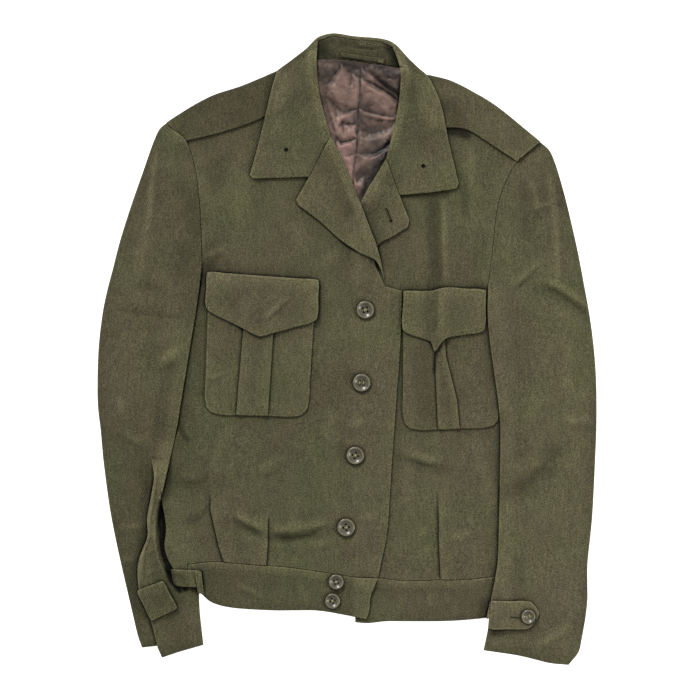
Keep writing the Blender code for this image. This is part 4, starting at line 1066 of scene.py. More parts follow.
def folded_piece(name, lower, upper, material):
    """Two sheets made one round their folds, hollow between and open elsewhere."""
    under, over = laid(lower), laid(upper)
    loops = [over.outline] if same_stretch(under, over) else [under.outline, over.outline]
    points, triangles = fine_plan(loops, mesh_size(name))
    centres = points[triangles].mean(axis=1)
    in_under, in_over = inside(centres, under.outline), inside(centres, over.outline)
    keep = in_under | in_over
    triangles, centres = triangles[keep], centres[keep]
    in_under, in_over = in_under[keep], in_over[keep]
    folds = [part_of(over.outline, *ends) for ends in FOLDS[upper]]
    fold = np.min([near_line(points, path)[0] for path in folds], axis=0)
    levels, walls = [], []
    for cloth in (under, over):
        base, top = sampled(cloth.base, points), sampled(cloth.top, points)
        half, middle = (top - base) / 2, (top + base) / 2
        off = off_outline(points, cloth.outline)
        swell = np.where(fold < off + JOIN_SLACK, 1.0, rounding(off, edge_reach(points, half)))
        levels += [middle - half * swell, middle + half * swell]
        walls.append(2 * half)
    bend = rounding(fold, FOLD_ROUND)
    middle = (levels[0] + levels[3]) / 2
    both = fold < FOLD_ROUND + FOLD_OVER
    lowest = np.where(both, middle - (middle - levels[0]) * bend, levels[0])
    highest = np.where(both, middle + (levels[3] - middle) * bend, levels[3])
    inner_low = np.where(both, np.minimum(lowest + walls[0], middle), levels[1])
    inner_high = np.where(both, np.maximum(highest - walls[1], middle), levels[2])
    closed = in_under & in_over & (fold[triangles].mean(axis=1) < WALL)
    off = np.minimum(off_outline(points, over.outline), fold)
    # The vent's painted edge highlight fades out where it comes out of the sleeve.
    if upper == "vent":
        off = off + np.maximum(points[:, 1] - VENT_RISE[1], 0)
    painted_light_and_tint = painted_light_and_tint_of(upper, points, sampled(over.top, points), off)
    thing = slab_mesh(name + "_cloth", points, triangles, [lowest, inner_low, inner_high, highest],
                      [in_under, closed, in_over], painted_light_and_tint)
    thing.data.materials.append(material)
    return thing


def same_stretch(under, over):
    return under.sheet.node == over.sheet.node and under.sheet.stretch == over.sheet.stretch


def part_of(loop, start, end):
    """The outline from its point nearest the start to its point nearest the end, the way it runs."""
    i = int(np.argmin(np.hypot(*(loop - start).T)))
    j = int(np.argmin(np.hypot(*(loop - end).T)))
    return loop[i:j + 1] if i <= j else np.concatenate([loop[i:], loop[:j + 1]])


# ---- Materials ----

def linear(hex_colour):
    """An sRGB colour such as "5a5740" as a linear RGBA."""
    parts = [int(hex_colour[k:k + 2], 16) / 255 for k in (0, 2, 4)]
    return (*(c / 12.92 if c <= 0.04045 else ((c + 0.055) / 1.055) ** 2.4 for c in parts), 1.0)


def add_node(tree, kind, inputs=None, **settings):
    """Adds a node, sets it up and fills its inputs."""
    node = tree.nodes.new(kind)
    for key, value in settings.items():
        setattr(node, key, value)
    fill(tree, node, inputs or {})
    return node


def fill(tree, node, inputs):
    """Gives each named input a value or a link."""
    for key, value in inputs.items():
        if isinstance(value, bpy.types.NodeSocket):
            tree.links.new(value, node.inputs[key])
        else:
            node.inputs[key].default_value = value


def new_material(name):
    """An empty material: its tree, its shader and its Object coordinates."""
    material = bpy.data.materials.new(name)
    material.use_nodes = True
    tree = material.node_tree
    shader = tree.nodes["Principled BSDF"]
    where = add_node(tree, "ShaderNodeTexCoord").outputs["Object"]
    return material, tree, shader, where


def per_metre(millimetres):
    """A texture scale whose features are about this big."""
    return 1 / (millimetres * MM)


def wool_serge():
    """Heathered wool serge: a soft steep twill of mixed olive and brown yarns, browner where it is worn, with
    painted shade and painted highlights.
    """
    if "wool serge" in bpy.data.materials:
        return bpy.data.materials["wool serge"]
    looks = bpy.context.scene.jacket_colours
    material, tree, shader, where = new_material("wool serge")
    # Worn, browner areas a hand wide, broken by smaller blotches.
    patches = add_node(tree, "ShaderNodeTexNoise", {"Vector": where, "Scale": per_metre(110), "Detail": 5.0,
                                                    "Roughness": 0.6})
    patch_share = add_node(tree, "ShaderNodeMapRange", {"Value": patches.outputs["Fac"], "From Min": 0.40,
                                                        "From Max": 0.68})
    tone = add_node(tree, "ShaderNodeMix", {"Factor": patch_share.outputs["Result"], "A": tuple(looks.wool),
                                            "B": tuple(looks.wool_worn)}, data_type="RGBA")
    # Blotches of light and dark a thumb wide.
    blotches = add_node(tree, "ShaderNodeTexNoise", {"Vector": where, "Scale": per_metre(26), "Detail": 3.0})
    # Yarn slubs: streaks along the warp, a few millimetres long.
    drawn = add_node(tree, "ShaderNodeMapping", {"Vector": where, "Scale": (1.0, 0.22, 1.0)})
    slubs = add_node(tree, "ShaderNodeTexNoise", {"Vector": drawn.outputs["Vector"], "Scale": per_metre(2.4),
                                                  "Detail": 2.0, "Roughness": 0.6})
    # The heather: light and dark fibres, about 0.5 mm in the cloth and drawn at 1.5 mm so that they show.
    fibres = add_node(tree, "ShaderNodeTexNoise", {"Vector": where, "Scale": per_metre(1.5), "Detail": 2.0,
                                                   "Roughness": 0.75})
    # The twill lines: about 0.8 mm apart in the cloth, drawn at 2.4 mm so that they show.
    turned = add_node(tree, "ShaderNodeMapping", {"Vector": where, "Rotation": (0, 0, math.radians(28))})
    twill = add_node(tree, "ShaderNodeTexWave", {"Vector": turned.outputs["Vector"],
                                                 "Scale": 2 * math.pi / (20 * 2.4 * MM), "Distortion": 1.6,
                                                 "Detail": 2.0, "Detail Scale": 1.5})
    # Painted light: relief and crease paint shade in hollows and creases and highlights on ridges, edge
    # paints a highlight along every edge, and shade the table's painted shade.
    light = [
        (blotches.outputs["Fac"], 0.35, 0.65, 0.93, 1.07),
        (slubs.outputs["Fac"], 0.34, 0.66, 0.87, 1.13),
        (fibres.outputs["Fac"], 0.34, 0.66, 0.56, 1.44),
        (twill.outputs["Fac"], 0.0, 1.0, 0.97, 1.03),
        (attribute(tree, "relief"), -2.2, 2.2, 0.66, 1.28),
        (attribute(tree, "crease"), -2.0, -0.08, 0.04, 1.0),
        (attribute(tree, "crease"), 0.1, 1.0, 1.0, 1.18),
        (attribute(tree, "edge"), 0.3, 2.6, 1.12, 1.0),
        (attribute(tree, "shade"), 0.0, 1.0, 1.0, 0.0),
    ]
    height = add_node(tree, "ShaderNodeMath", {0: fibres.outputs["Fac"], 1: twill.outputs["Fac"]},
                      operation="ADD")
    bump = add_node(tree, "ShaderNodeBump", {"Height": height.outputs["Value"], "Strength": 0.6,
                                             "Distance": 0.5 * MM})
    fill(tree, shader, {"Base Color": lit_by(tree, tone.outputs["Result"], light),
                        "Normal": bump.outputs["Normal"], "Roughness": 0.9, "Specular IOR Level": 0.15,
                        "Sheen Weight": 0.02, "Sheen Roughness": 0.6})
    return material


def attribute(tree, name):
    """A value that the mesh carries at each point."""
    return add_node(tree, "ShaderNodeAttribute", attribute_name=name).outputs["Fac"]


def lit_by(tree, colour, rows):
    """The colour made lighter or darker by each row: (value, from low, from high, to low, to high)."""
    for value, low, high, dark, bright in rows:
        share = add_node(tree, "ShaderNodeMapRange", {"Value": value, "From Min": low, "From Max": high,
                                                      "To Min": dark, "To Max": bright})
        colour = add_node(tree, "ShaderNodeVectorMath", {0: colour, 1: share.outputs["Result"]},
                          operation="MULTIPLY").outputs["Vector"]
    return colour


def satin():
    """Viscose satin: smooth float threads, with painted highlights along the folds and painted shade in the
    hollows.
    """
    if "lining satin" in bpy.data.materials:
        return bpy.data.materials["lining satin"]
    looks = bpy.context.scene.jacket_colours
    material, tree, shader, where = new_material("lining satin")
    stains = add_node(tree, "ShaderNodeTexNoise", {"Vector": where, "Scale": per_metre(32), "Detail": 4.0,
                                                   "Roughness": 0.6})
    share = add_node(tree, "ShaderNodeMapRange", {"Value": stains.outputs["Fac"], "From Min": 0.38,
                                                  "From Max": 0.66})
    stained = add_node(tree, "ShaderNodeMix", {"Factor": share.outputs["Result"], "A": tuple(looks.satin),
                                               "B": tuple(looks.satin_dark)}, data_type="RGBA")
    tone = add_node(tree, "ShaderNodeMix", {"Factor": attribute(tree, "tint"), "A": stained.outputs["Result"],
                                            "B": tuple(looks.satin_pink)}, data_type="RGBA")
    threads = add_node(tree, "ShaderNodeTexNoise", {"Vector": where, "Scale": per_metre(1.5), "Detail": 2.0})
    # Painted light: highlights on folds and ridges, shade in hollows and creases, and the table's painted
    # shade.
    light = [
        (threads.outputs["Fac"], 0.3, 0.7, 0.94, 1.06),
        (attribute(tree, "relief"), -2.1, 1.5, 0.43, 1.36),
        (attribute(tree, "crease"), -0.55, -0.04, 0.25, 1.0),
        (attribute(tree, "crease"), 0.0, 0.4, 1.0, 1.2),
        (attribute(tree, "shade"), 0.0, 1.0, 1.0, 0.0),
    ]
    fill(tree, shader, {"Base Color": lit_by(tree, tone.outputs["Result"], light), "Roughness": 0.48,
                        "Specular IOR Level": 0.35})
    return material


def button_plastic():
    """Moulded urea plastic: hard, glossy, olive brown with faint clouding."""
    if "button plastic" in bpy.data.materials:
        return bpy.data.materials["button plastic"]
    looks = bpy.context.scene.jacket_colours
    material, tree, shader, where = new_material("button plastic")
    cloud = add_node(tree, "ShaderNodeTexNoise", {"Vector": where, "Scale": per_metre(6), "Detail": 3.0})
    # The rim carries a painted highlight, and its outer side painted shade.
    light = [
        (cloud.outputs["Fac"], 0.3, 0.7, 0.75, 1.3),
        (attribute(tree, "rim"), 0.72, 0.82, 1.0, 2.0),
        (attribute(tree, "rim"), 0.89, 0.98, 1.0, 0.15),
    ]
    tone = add_node(tree, "ShaderNodeRGB")
    tone.outputs["Color"].default_value = tuple(looks.button)
    fill(tree, shader, {"Base Color": lit_by(tree, tone.outputs["Color"], light), "Roughness": 0.3,
                        "IOR": 1.6, "Specular IOR Level": 0.45})
    return material


def thread(name, colour):
    """Mercerised sewing thread: fine, slightly shiny; the same finish also makes the near-black painted shade
    of eyelets and holes.
    """
    if name in bpy.data.materials:
        return bpy.data.materials[name]
    material, tree, shader, where = new_material(name)
    twist = add_node(tree, "ShaderNodeTexNoise", {"Vector": where, "Scale": per_metre(0.8), "Detail": 1.0})
    tone = add_node(tree, "ShaderNodeRGB")
    tone.outputs["Color"].default_value = tuple(colour)
    light = [(twist.outputs["Fac"], 0.3, 0.7, 0.85, 1.15)]
    fill(tree, shader, {"Base Color": lit_by(tree, tone.outputs["Color"], light), "Roughness": 0.75,
                        "Specular IOR Level": 0.1})
    return material


# ---- Stitches: Geometry Nodes lay one thread shape along a line ----

STITCH_RISE = 0.15    # how high the middle of a thread lies over its cloth, mm


def stitch_tree():
    """A line in, threads of one length and thickness out, laid along it at a pitch and turned by an angle."""
    if "thread along a line" in bpy.data.node_groups:
        return bpy.data.node_groups["thread along a line"]
    tree = bpy.data.node_groups.new("thread along a line", "GeometryNodeTree")
    face = tree.interface
    face.new_socket("Line", in_out="INPUT", socket_type="NodeSocketGeometry")
    for name in ("Pitch", "Length", "Thickness", "Turn"):
        face.new_socket(name, in_out="INPUT", socket_type="NodeSocketFloat")
    face.new_socket("Thread", in_out="INPUT", socket_type="NodeSocketMaterial")
    face.new_socket("Stitches", in_out="OUTPUT", socket_type="NodeSocketGeometry")
    given = add_node(tree, "NodeGroupInput").outputs
    line = add_node(tree, "GeometryNodeMeshToCurve", {"Mesh": given["Line"]})
    even = add_node(tree, "GeometryNodeResampleCurve",
                    {"Curve": line.outputs["Curve"], "Length": given["Pitch"]}, mode="LENGTH")
    size = add_node(tree, "ShaderNodeCombineXYZ", {"X": given["Length"], "Y": given["Thickness"],
                                                   "Z": given["Thickness"]})
    grain = add_node(tree, "GeometryNodeMeshUVSphere", {"Segments": 8, "Rings": 6, "Radius": 0.5})
    shaped = add_node(tree, "GeometryNodeTransform", {"Geometry": grain.outputs["Mesh"],
                                                      "Scale": size.outputs["Vector"]})
    way = add_node(tree, "GeometryNodeInputTangent")
    facing = add_node(tree, "FunctionNodeAlignRotationToVector", {"Vector": way.outputs["Tangent"]}, axis="X")
    turn = add_node(tree, "ShaderNodeCombineXYZ", {"Z": given["Turn"]})
    spun = add_node(tree, "FunctionNodeEulerToRotation", {"Euler": turn.outputs["Vector"]})
    aim = add_node(tree, "FunctionNodeRotateRotation", {"Rotation": facing.outputs["Rotation"],
                                                        "Rotate By": spun.outputs["Rotation"]},
                   rotation_space="LOCAL")
    laid_out = add_node(tree, "GeometryNodeInstanceOnPoints", {
        "Points": even.outputs["Curve"], "Instance": shaped.outputs["Geometry"],
        "Rotation": aim.outputs["Rotation"]})
    real = add_node(tree, "GeometryNodeRealizeInstances", {"Geometry": laid_out.outputs["Instances"]})
    painted = add_node(tree, "GeometryNodeSetMaterial", {"Geometry": real.outputs["Geometry"],
                                                         "Material": given["Thread"]})
    add_node(tree, "NodeGroupOutput", {"Stitches": painted.outputs["Geometry"]})
    return tree


def stitch_piece(name, path, pitch, length, thickness, material, turn=0.0, closed=False, shown=None):
    """Stitches along a line of points, mm, as one plain mesh, and only between the points that are shown."""
    edges = [(i, i + 1) for i in range(len(path) - 1)] + ([(len(path) - 1, 0)] if closed else [])
    if shown is not None:
        edges = [(i, j) for i, j in edges if shown[i] and shown[j]]
    line = placed(name + "_line", from_faces(name, [tuple(c * MM for c in p) for p in path], [], edges))
    maker = line.modifiers.new("stitches", "NODES")
    maker.node_group = stitch_tree()
    wanted = {"Pitch": pitch * MM, "Length": length * MM, "Thickness": thickness * MM, "Turn": turn,
              "Thread": material}
    for socket in maker.node_group.interface.items_tree:
        if socket.in_out == "INPUT" and socket.name in wanted:
            maker[socket.identifier] = wanted[socket.name]
    bpy.context.view_layer.update()
    graph = bpy.context.evaluated_depsgraph_get()
    plain = bpy.data.meshes.new_from_object(line.evaluated_get(graph))
    bpy.data.objects.remove(line)
    plain.shade_smooth()
    return placed(name, plain)


def on_cloth(name, path, rise=STITCH_RISE):
    """A line's points with their height on a sheet's top."""
    path = np.array(path, float)
    return [(*p, z + rise) for p, z in zip(path, sampled(laid(name).top, path))]


def along(path, step):
    """Points along a line at most a step apart."""
    return np.concatenate([beside(path, 0, step), [path[-1]]])


# ---- What a user would change ----

def millimetres(name, description, default):
    return FloatProperty(name=name, description=description, default=default * MM, unit="LENGTH",
                         subtype="DISTANCE")


def number(name, description, default, low, high):
    return FloatProperty(name=name, description=description, default=default, min=low, max=high)


def colour(name, description, hex_colour):
    return FloatVectorProperty(name=name, description=description, default=linear(hex_colour), size=4,
                               subtype="COLOR", min=0, max=1)


class JacketCloth(bpy.types.PropertyGroup):
    lattice: number("Mesh size", "Distance between points of the cloth, in millimetres", 3.0, 1.5, 8)
    lining_lattice: number("Lining mesh size", "The same on the satin, in millimetres", 1.0, 1, 8)
    crease_gain: number("Crease height", "How high the drawn creases of the wool stand", 1.6, 0, 3)
    fold_gain: number("Satin folds", "How high the satin's folds stand", 1.5, 0, 3)
    unevenness: number("Unevenness", "Height of the soft relief between creases, in mm", 0.65, 0, 2)


class JacketColours(bpy.types.PropertyGroup):
    wool: colour("Wool", "Olive wool", "5c5b40")
    wool_worn: colour("Worn wool", "The browner, worn areas of the wool", "5a5340")
    satin: colour("Satin", "Brown-pink lining", "745f54")
    satin_pink: colour("Pink satin", "The lining where it kept its first colour", "846860")
    satin_dark: colour("Dark satin", "The lining's stained areas", "4e433c")
    button: colour("Buttons", "Olive-brown button plastic", "555140")
    thread_wool: colour("Wool thread", "Thread of the seams and buttonholes", "55523c")
    thread_top: colour("Topstitching", "Thread along the edges, a little lighter than the wool", "66623f")
    thread_light: colour("Light thread", "Pale thread that holds the buttons", "b9b582")
    thread_stand: colour("Collar thread", "Worn pale stitches inside the collar", "8e8a6a")
    # Painted shade: the near-black of the eyelets, the button holes and the buttonhole slits.
    hole: colour("Eyelet", "The dark inside of an eyelet", "0c0b07")


class JacketButtons(bpy.types.PropertyGroup):
    hole_spread: millimetres("Hole distance", "From the middle of the 20 mm button to a hole's", 3.0)
    hole_radius: millimetres("Hole radius", "On the 20 mm button", 1.3)
    segments: IntProperty(name="Segments", description="Sides of the turned shape", default=48, min=16,
                          max=96)


class JacketStudio(bpy.types.PropertyGroup):
    view_width: FloatProperty(name="Width of view", description="What the picture takes in, side to side",
                              default=0.77, unit="LENGTH")
    camera_height: FloatProperty(name="Camera height", description="Straight above the jacket", default=3.0,
                                 unit="LENGTH")
    key_power: FloatProperty(name="Window", description="Soft even light from the neck side", default=2.3,
                             min=0)
    card_power: FloatProperty(name="Side card", description="Weaker light from the left sleeve's side",
                              default=11.0, min=0, unit="POWER")
    surround: FloatProperty(name="Surround", description="Even light from all round", default=0.42, min=0)
    floor: colour("Floor", "Pale paper under the jacket", "f4f3f0")


# ---- Pieces ----

TURN_STEP = 1.5       # degrees between the boxes that are tried
# Pieces with a finer mesh than the cloth's own: the distance between their points, mm.
FINER = {"hanger_loop": 1.5, "strap_keeper_right": 1.6, "sleeve_right_vent": 1.8, "collar_stand": 2.0,
         **dict.fromkeys(("waist_strap_right", "cuff_tab_left", "cuff_tab_right"), 2.2),
         **dict.fromkeys(("pocket_right", "pocket_left", "flap_right", "flap_left", "lapel_right",
                          "lapel_left", "epaulette_right", "epaulette_left", "collar"), 2.6)}
# Where each fold of a folded piece starts and ends on its upper outline, mm, the way that runs.
FOLDS = {
    "collar": [((69, 319), (-45, 331))],
    "sleeve_right": [((-201, -151), (-160, 89)), ((-199, 249), (-226, -329))],
    "sleeve_left": [((155, 67), (150, -332)), ((256, -332), (213, 228))],
    "vent": [((-216, VENT_TOP + VENT_ON), (-204, -340)), ((-158, -326), (-163, -265))],
}


def smallest_box(points):
    """The sides of the smallest upright or turned rectangle round some points."""
    best = None
    for angle in np.radians(np.arange(0, 90, TURN_STEP)):
        c, s = math.cos(angle), math.sin(angle)
        turned = points @ np.array([[c, -s], [s, c]])
        sides = np.ptp(turned, axis=0)
        if best is None or sides[0] * sides[1] < best[0] * best[1]:
            best = sides
    return sorted(best)


def finish_cloth(thing, names):
    """The piece joins the garment and stands for its solids, which are hidden; the sizes and area of what
    shows are worked out.
    """
    sides = [smallest_box(laid(name).outline) for name in names]
    area = sum(abs(area_of(laid(name).outline)) for name in names) * MM * MM
    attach(thing, ROOT)
    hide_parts(*{SHEETS[name].node for name in names})


def lay_sheet(name):
    """One flat-laid wool piece from its row in the table of sheets."""
    finish_cloth(sheet_piece(name, wool_serge()), [name])


def lay_folded(name, lower, upper):
    """One wool piece folded from two sheets."""
    finish_cloth(folded_piece(name, lower, upper, wool_serge()), [lower, upper])


class JACKET_OT_back(bpy.types.Operator):
    """Lays the back, its waistband and the lining"""
    bl_idname = "jacket.back"
    bl_label = "Back and lining"

    def execute(self, context):
        lay_sheet("back")
        lay_sheet("waistband_back")
        finish_cloth(sheet_piece("lining_back", satin()), ["lining_back"])
        return {"FINISHED"}


class JACKET_OT_neck(bpy.types.Operator):
    """Makes the collar's stand and the loop that the jacket hangs by"""
    bl_idname = "jacket.neck"
    bl_label = "Stand and hanger loop"

    def execute(self, context):
        lay_sheet("collar_stand")
        lay_sheet("hanger_loop")
        return {"FINISHED"}


class JACKET_OT_fronts(bpy.types.Operator):
    """Lays both fronts and their waistbands"""
    bl_idname = "jacket.fronts"
    bl_label = "Fronts"

    def execute(self, context):
        lay_sheet("front_left")
        lay_sheet("waistband_left")
        lay_sheet("front_right")
        lay_sheet("waistband_right")
        return {"FINISHED"}


class JACKET_OT_pockets(bpy.types.Operator):
    """Makes the pleated chest pockets and their flaps"""
    bl_idname = "jacket.pockets"
    bl_label = "Pockets and flaps"

    def execute(self, context):
        for side in ("right", "left"):
            lay_sheet("pocket_" + side)
            lay_sheet("flap_" + side)
        return {"FINISHED"}


class JACKET_OT_collar(bpy.types.Operator):
    """Folds the collar over and lays the lapels"""
    bl_idname = "jacket.collar"
    bl_label = "Collar and lapels"

    def execute(self, context):
        lay_sheet("lapel_left")
        lay_sheet("lapel_right")
        lay_folded("collar", "collar_fall", "collar")
        return {"FINISHED"}


class JACKET_OT_shoulders(bpy.types.Operator):
    """Lays the shoulder straps"""
    bl_idname = "jacket.shoulders"
    bl_label = "Shoulder straps"

    def execute(self, context):
        lay_sheet("epaulette_right")
        lay_sheet("epaulette_left")
        return {"FINISHED"}


class JACKET_OT_sleeves(bpy.types.Operator):
    """Makes the sleeves as flattened tubes, and the turned part beside the right one's slit"""
    bl_idname = "jacket.sleeves"
    bl_label = "Sleeves"

    def execute(self, context):
        lay_folded("sleeve_right", "sleeve_right_under", "sleeve_right")
        lay_folded("sleeve_left", "sleeve_left_under", "sleeve_left")
        lay_folded("sleeve_right_vent", "vent_under", "vent")
        return {"FINISHED"}


class JACKET_OT_tabs(bpy.types.Operator):
    """Lays the waist strap, its keeper and the cuff tabs"""
    bl_idname = "jacket.tabs"
    bl_label = "Strap and cuff tabs"

    def execute(self, context):
        lay_sheet("waist_strap_right")
        lay_sheet("strap_keeper_right")
        lay_sheet("cuff_tab_left")
        lay_sheet("cuff_tab_right")
        return {"FINISHED"}


# ---- Buttons ----

# Shares of the radius and of the height, from the foot to the dished middle.
BUTTON_SECTION = [(0.0, 0.0), (0.74, 0.0), (0.88, 0.10), (0.97, 0.34), (1.0, 0.58), (0.97, 0.80),
                  (0.90, 0.95), (0.82, 1.0), (0.75, 0.93), (0.66, 0.76), (0.55, 0.57), (0.44, 0.46),
                  (0.34, 0.41), (0.20, 0.39), (0.0, 0.38)]
MAIN_RADIUS = 10.0    # of the 20 mm button, mm
HOLE_FOOT = 0.12      # share of the height at which the holes' painted shade begins
HOLE_SIDES = 16
SHARP = math.radians(40)  # an edge that turns more than this stays sharp
THREAD_FOOT = 0.44    # share of the height at which the sewing thread lies
THREAD_SPAN = 1.7     # its length, as a share of the distance from the middle to a hole
THREAD_WIDTH = 0.55   # mm
THREAD_LIFT = 0.15    # the second thread lies this much higher, mm
THREAD_HALF = 0.05    # each is laid on a line twice this long, mm, and with
THREAD_PITCH = 5.0    # a pitch far over that, so that it is laid once
THREADS = table(
    "button turn crossed",
    ("button_front_1", 0.2, True), ("button_front_2", 0.0, False), ("button_front_3", 0.5, True),
    ("button_front_4", 0.9, True), ("button_waist_1", 0.3, True), ("button_waist_2", 1.1, True),
    ("button_cuff_left", 0.4, False),
)


def turned_shape(name, section, segments, centre):
    """A closed solid turned from a section that starts and ends on its axis."""
    angles = np.linspace(0, 2 * math.pi, segments, endpoint=False)
    rings = [[(r * math.cos(a), r * math.sin(a), z) for a in angles] for r, z in section[1:-1]]
    points = [(0, 0, section[0][1]), (0, 0, section[-1][1])] + [p for ring in rings for p in ring]
    faces = []
    for k in range(segments):
        after = (k + 1) % segments
        faces.append((0, 2 + after, 2 + k))
        last = 2 + (len(rings) - 1) * segments
        faces.append((1, last + k, last + after))
        for ring in range(len(rings) - 1):
            low, high = 2 + ring * segments, 2 + (ring + 1) * segments
            faces.append((low + k, low + after, high + after, high + k))
    thing = placed(name, from_faces(name, points, faces))
    for vertex in thing.data.vertices:
        vertex.co.x += centre[0]
        vertex.co.y += centre[1]
    return thing


def button_holes(name, low, high, centre, spread, radius, turn):
    """Four pegs that cut the holes."""
    angles = np.linspace(0, 2 * math.pi, HOLE_SIDES, endpoint=False)
    points, faces = [], []
    for quarter in range(4):
        angle = turn + math.pi / 4 + quarter * math.pi / 2
        x, y = centre[0] + spread * math.cos(angle), centre[1] + spread * math.sin(angle)
        foot, head = len(points), len(points) + HOLE_SIDES
        for z in (low, high):
            points += [(x + radius * math.cos(a), y + radius * math.sin(a), z) for a in angles]
        faces.append(tuple(foot + k for k in reversed(range(HOLE_SIDES))))
        faces.append(tuple(head + k for k in range(HOLE_SIDES)))
        for k in range(HOLE_SIDES):
            after = (k + 1) % HOLE_SIDES
            faces.append((foot + k, foot + after, head + after, head + k))
    return placed(name, from_faces(name, points, faces))


class JACKET_OT_buttons(bpy.types.Operator):
    """Turns the buttons, drills them and sews them on"""
    bl_idname = "jacket.buttons"
    bl_label = "Buttons"

    def execute(self, context):
        sizes = context.scene.jacket_buttons
        light = thread("button thread", context.scene.jacket_colours.thread_light)
        dark = thread("eyelet shade", context.scene.jacket_colours.hole)
        for row in THREADS:
            low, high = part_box(row.button)
            centre = [(low[k] + high[k]) / 2 for k in (0, 1)]
            radius, height = (high[0] - low[0]) / 2, high[2] - low[2]
            scale = radius / (MAIN_RADIUS * MM)
            section = [(r * radius, low[2] + z * height) for r, z in BUTTON_SECTION]
            body = turned_shape(row.button + "_turned", section, sizes.segments, centre)
            pegs = button_holes(row.button + "_pegs", low[2] + HOLE_FOOT * height, high[2] + height, centre,
                                sizes.hole_spread * scale, sizes.hole_radius * scale, row.turn)
            body.data.materials.append(button_plastic())
            # The pegs pass their near-black to the holes' walls and floors: painted shade.
            pegs.data.materials.append(dark)
            cut = body.modifiers.new("holes", "BOOLEAN")
            cut.operation = "DIFFERENCE"
            cut.solver = "EXACT"
            cut.material_mode = "TRANSFER"
            cut.object = pegs
            context.view_layer.update()
            plain = bpy.data.meshes.new_from_object(body.evaluated_get(context.evaluated_depsgraph_get()))
            bpy.data.objects.remove(body)
            bpy.data.objects.remove(pegs)
            plain.shade_smooth()
            plain.set_sharp_from_angle(angle=SHARP)
            rim = plain.attributes.new("rim", "FLOAT", "POINT")
            rim.data.foreach_set("value", [math.dist(v.co[:2], centre) / radius for v in plain.vertices])
            thing = placed(row.button + "_turned", plain)
            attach(thing, ROOT)
            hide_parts(row.button)
            self.sew(row, centre, low[2] + THREAD_FOOT * height, sizes.hole_spread * scale, light)
        return {"FINISHED"}

    def sew(self, row, centre, height, spread, material):
        """Threads from hole to hole: a cross, or two bars."""
        c, s = math.cos(row.turn), math.sin(row.turn)
        for n, part in enumerate((-1, 1)):
            turn = part * math.pi / 4 if row.crossed else math.pi / 2
            off = 0.0 if row.crossed else part * spread * math.sqrt(0.5)
            x, y = (centre[0] + c * off) / MM, (centre[1] + s * off) / MM
            z = height / MM + n * THREAD_LIFT
            path = [(x + end * c, y + end * s, z) for end in (-THREAD_HALF, THREAD_HALF)]
            thing = stitch_piece(row.button + "_thread_" + str(n + 1), path, THREAD_PITCH,
                                 THREAD_SPAN * spread / MM, THREAD_WIDTH, material, turn)
            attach(thing, ROOT)


# ---- Stitching ----

# The slits are dark stitches of painted shade in the buttonholes' cuts.
SEAM_LINES = table(
    "name sheet pitch length thickness turn tone path",
    ("stand_stitches_low", "collar_stand", 3.2, 2.3, 0.45, 0.0, "stand", [(0, 331), (16, 329), (32, 328)]),
    ("stand_stitches_high", "collar_stand", 3.2, 2.3, 0.45, 0.0, "stand", [(24, 336), (39, 334)]),
    ("loop_tack", "hanger_loop", 0.9, 3.4, 0.5, 1.57, "stand", [(34.5, 316.5), (39.5, 315.5)]),
    ("keeper_line_1", "strap_keeper_right", 2.4, 1.7, 0.4, 0.0, "wool", [(-164.5, -247), (-163.5, -266)]),
    ("keeper_line_2", "strap_keeper_right", 2.4, 1.7, 0.4, 0.0, "wool", [(-161, -247), (-160, -266)]),
    ("lapel_buttonhole_edge", "lapel_left", 0.9, 3.4, 0.5, 1.57, "wool", [(43, 155), (48, 142)]),
    ("lapel_buttonhole_slit", "lapel_left", 1.5, 2.6, 0.9, 0.0, "hole", [(43.5, 154), (48, 142.5)]),
    ("cuff_buttonhole_edge", "cuff_tab_left", 0.9, 3.0, 0.5, 1.57, "wool", [(179, -294), (190, -295)]),
    ("cuff_buttonhole_slit", "cuff_tab_left", 1.5, 2.4, 0.8, 0.0, "hole", [(180, -294), (189, -295)]),
)
TOPSTITCHED = table("sheet inset", ("flap_right", 3.0), ("flap_left", 3.0), ("pocket_right", 3.0),
                    ("pocket_left", 3.0), ("collar", 4.5), ("lapel_right", 4.5), ("lapel_left", 4.5),
                    ("epaulette_right", 4.0), ("epaulette_left", 4.0), ("cuff_tab_left", 3.0),
                    ("cuff_tab_right", 3.0), ("waist_strap_right", 3.0))
TOPSTITCH = (2.6, 1.8, 0.4)  # pitch, length and thickness, mm
TOPSTITCH_RISE = 0.05  # pressed into the cloth, mm
TOPSTITCH_CLEAR = 0.9  # it shows where it is this share of its inset from every edge
LINE_STEP = 1.0       # distance between the points of a seam's line, mm
EYELET_STITCH = (0.6, 1.2, 0.5)  # as for the topstitching
EYELET_POINTS = 16
EYELET_SIDES = 24
EYELET_RISE = 0.35    # the dark disc of painted shade for the inside shows just above the cloth round it
EYELETS = table(
    "name sheet x y radius",
    ("pin_hole_right", "collar", -67, 219, 2.3),
    ("pin_hole_left", "collar", 84, 201, 2.3),
    ("buttonhole_eye", "lapel_left", 48.5, 141, 1.7),
)


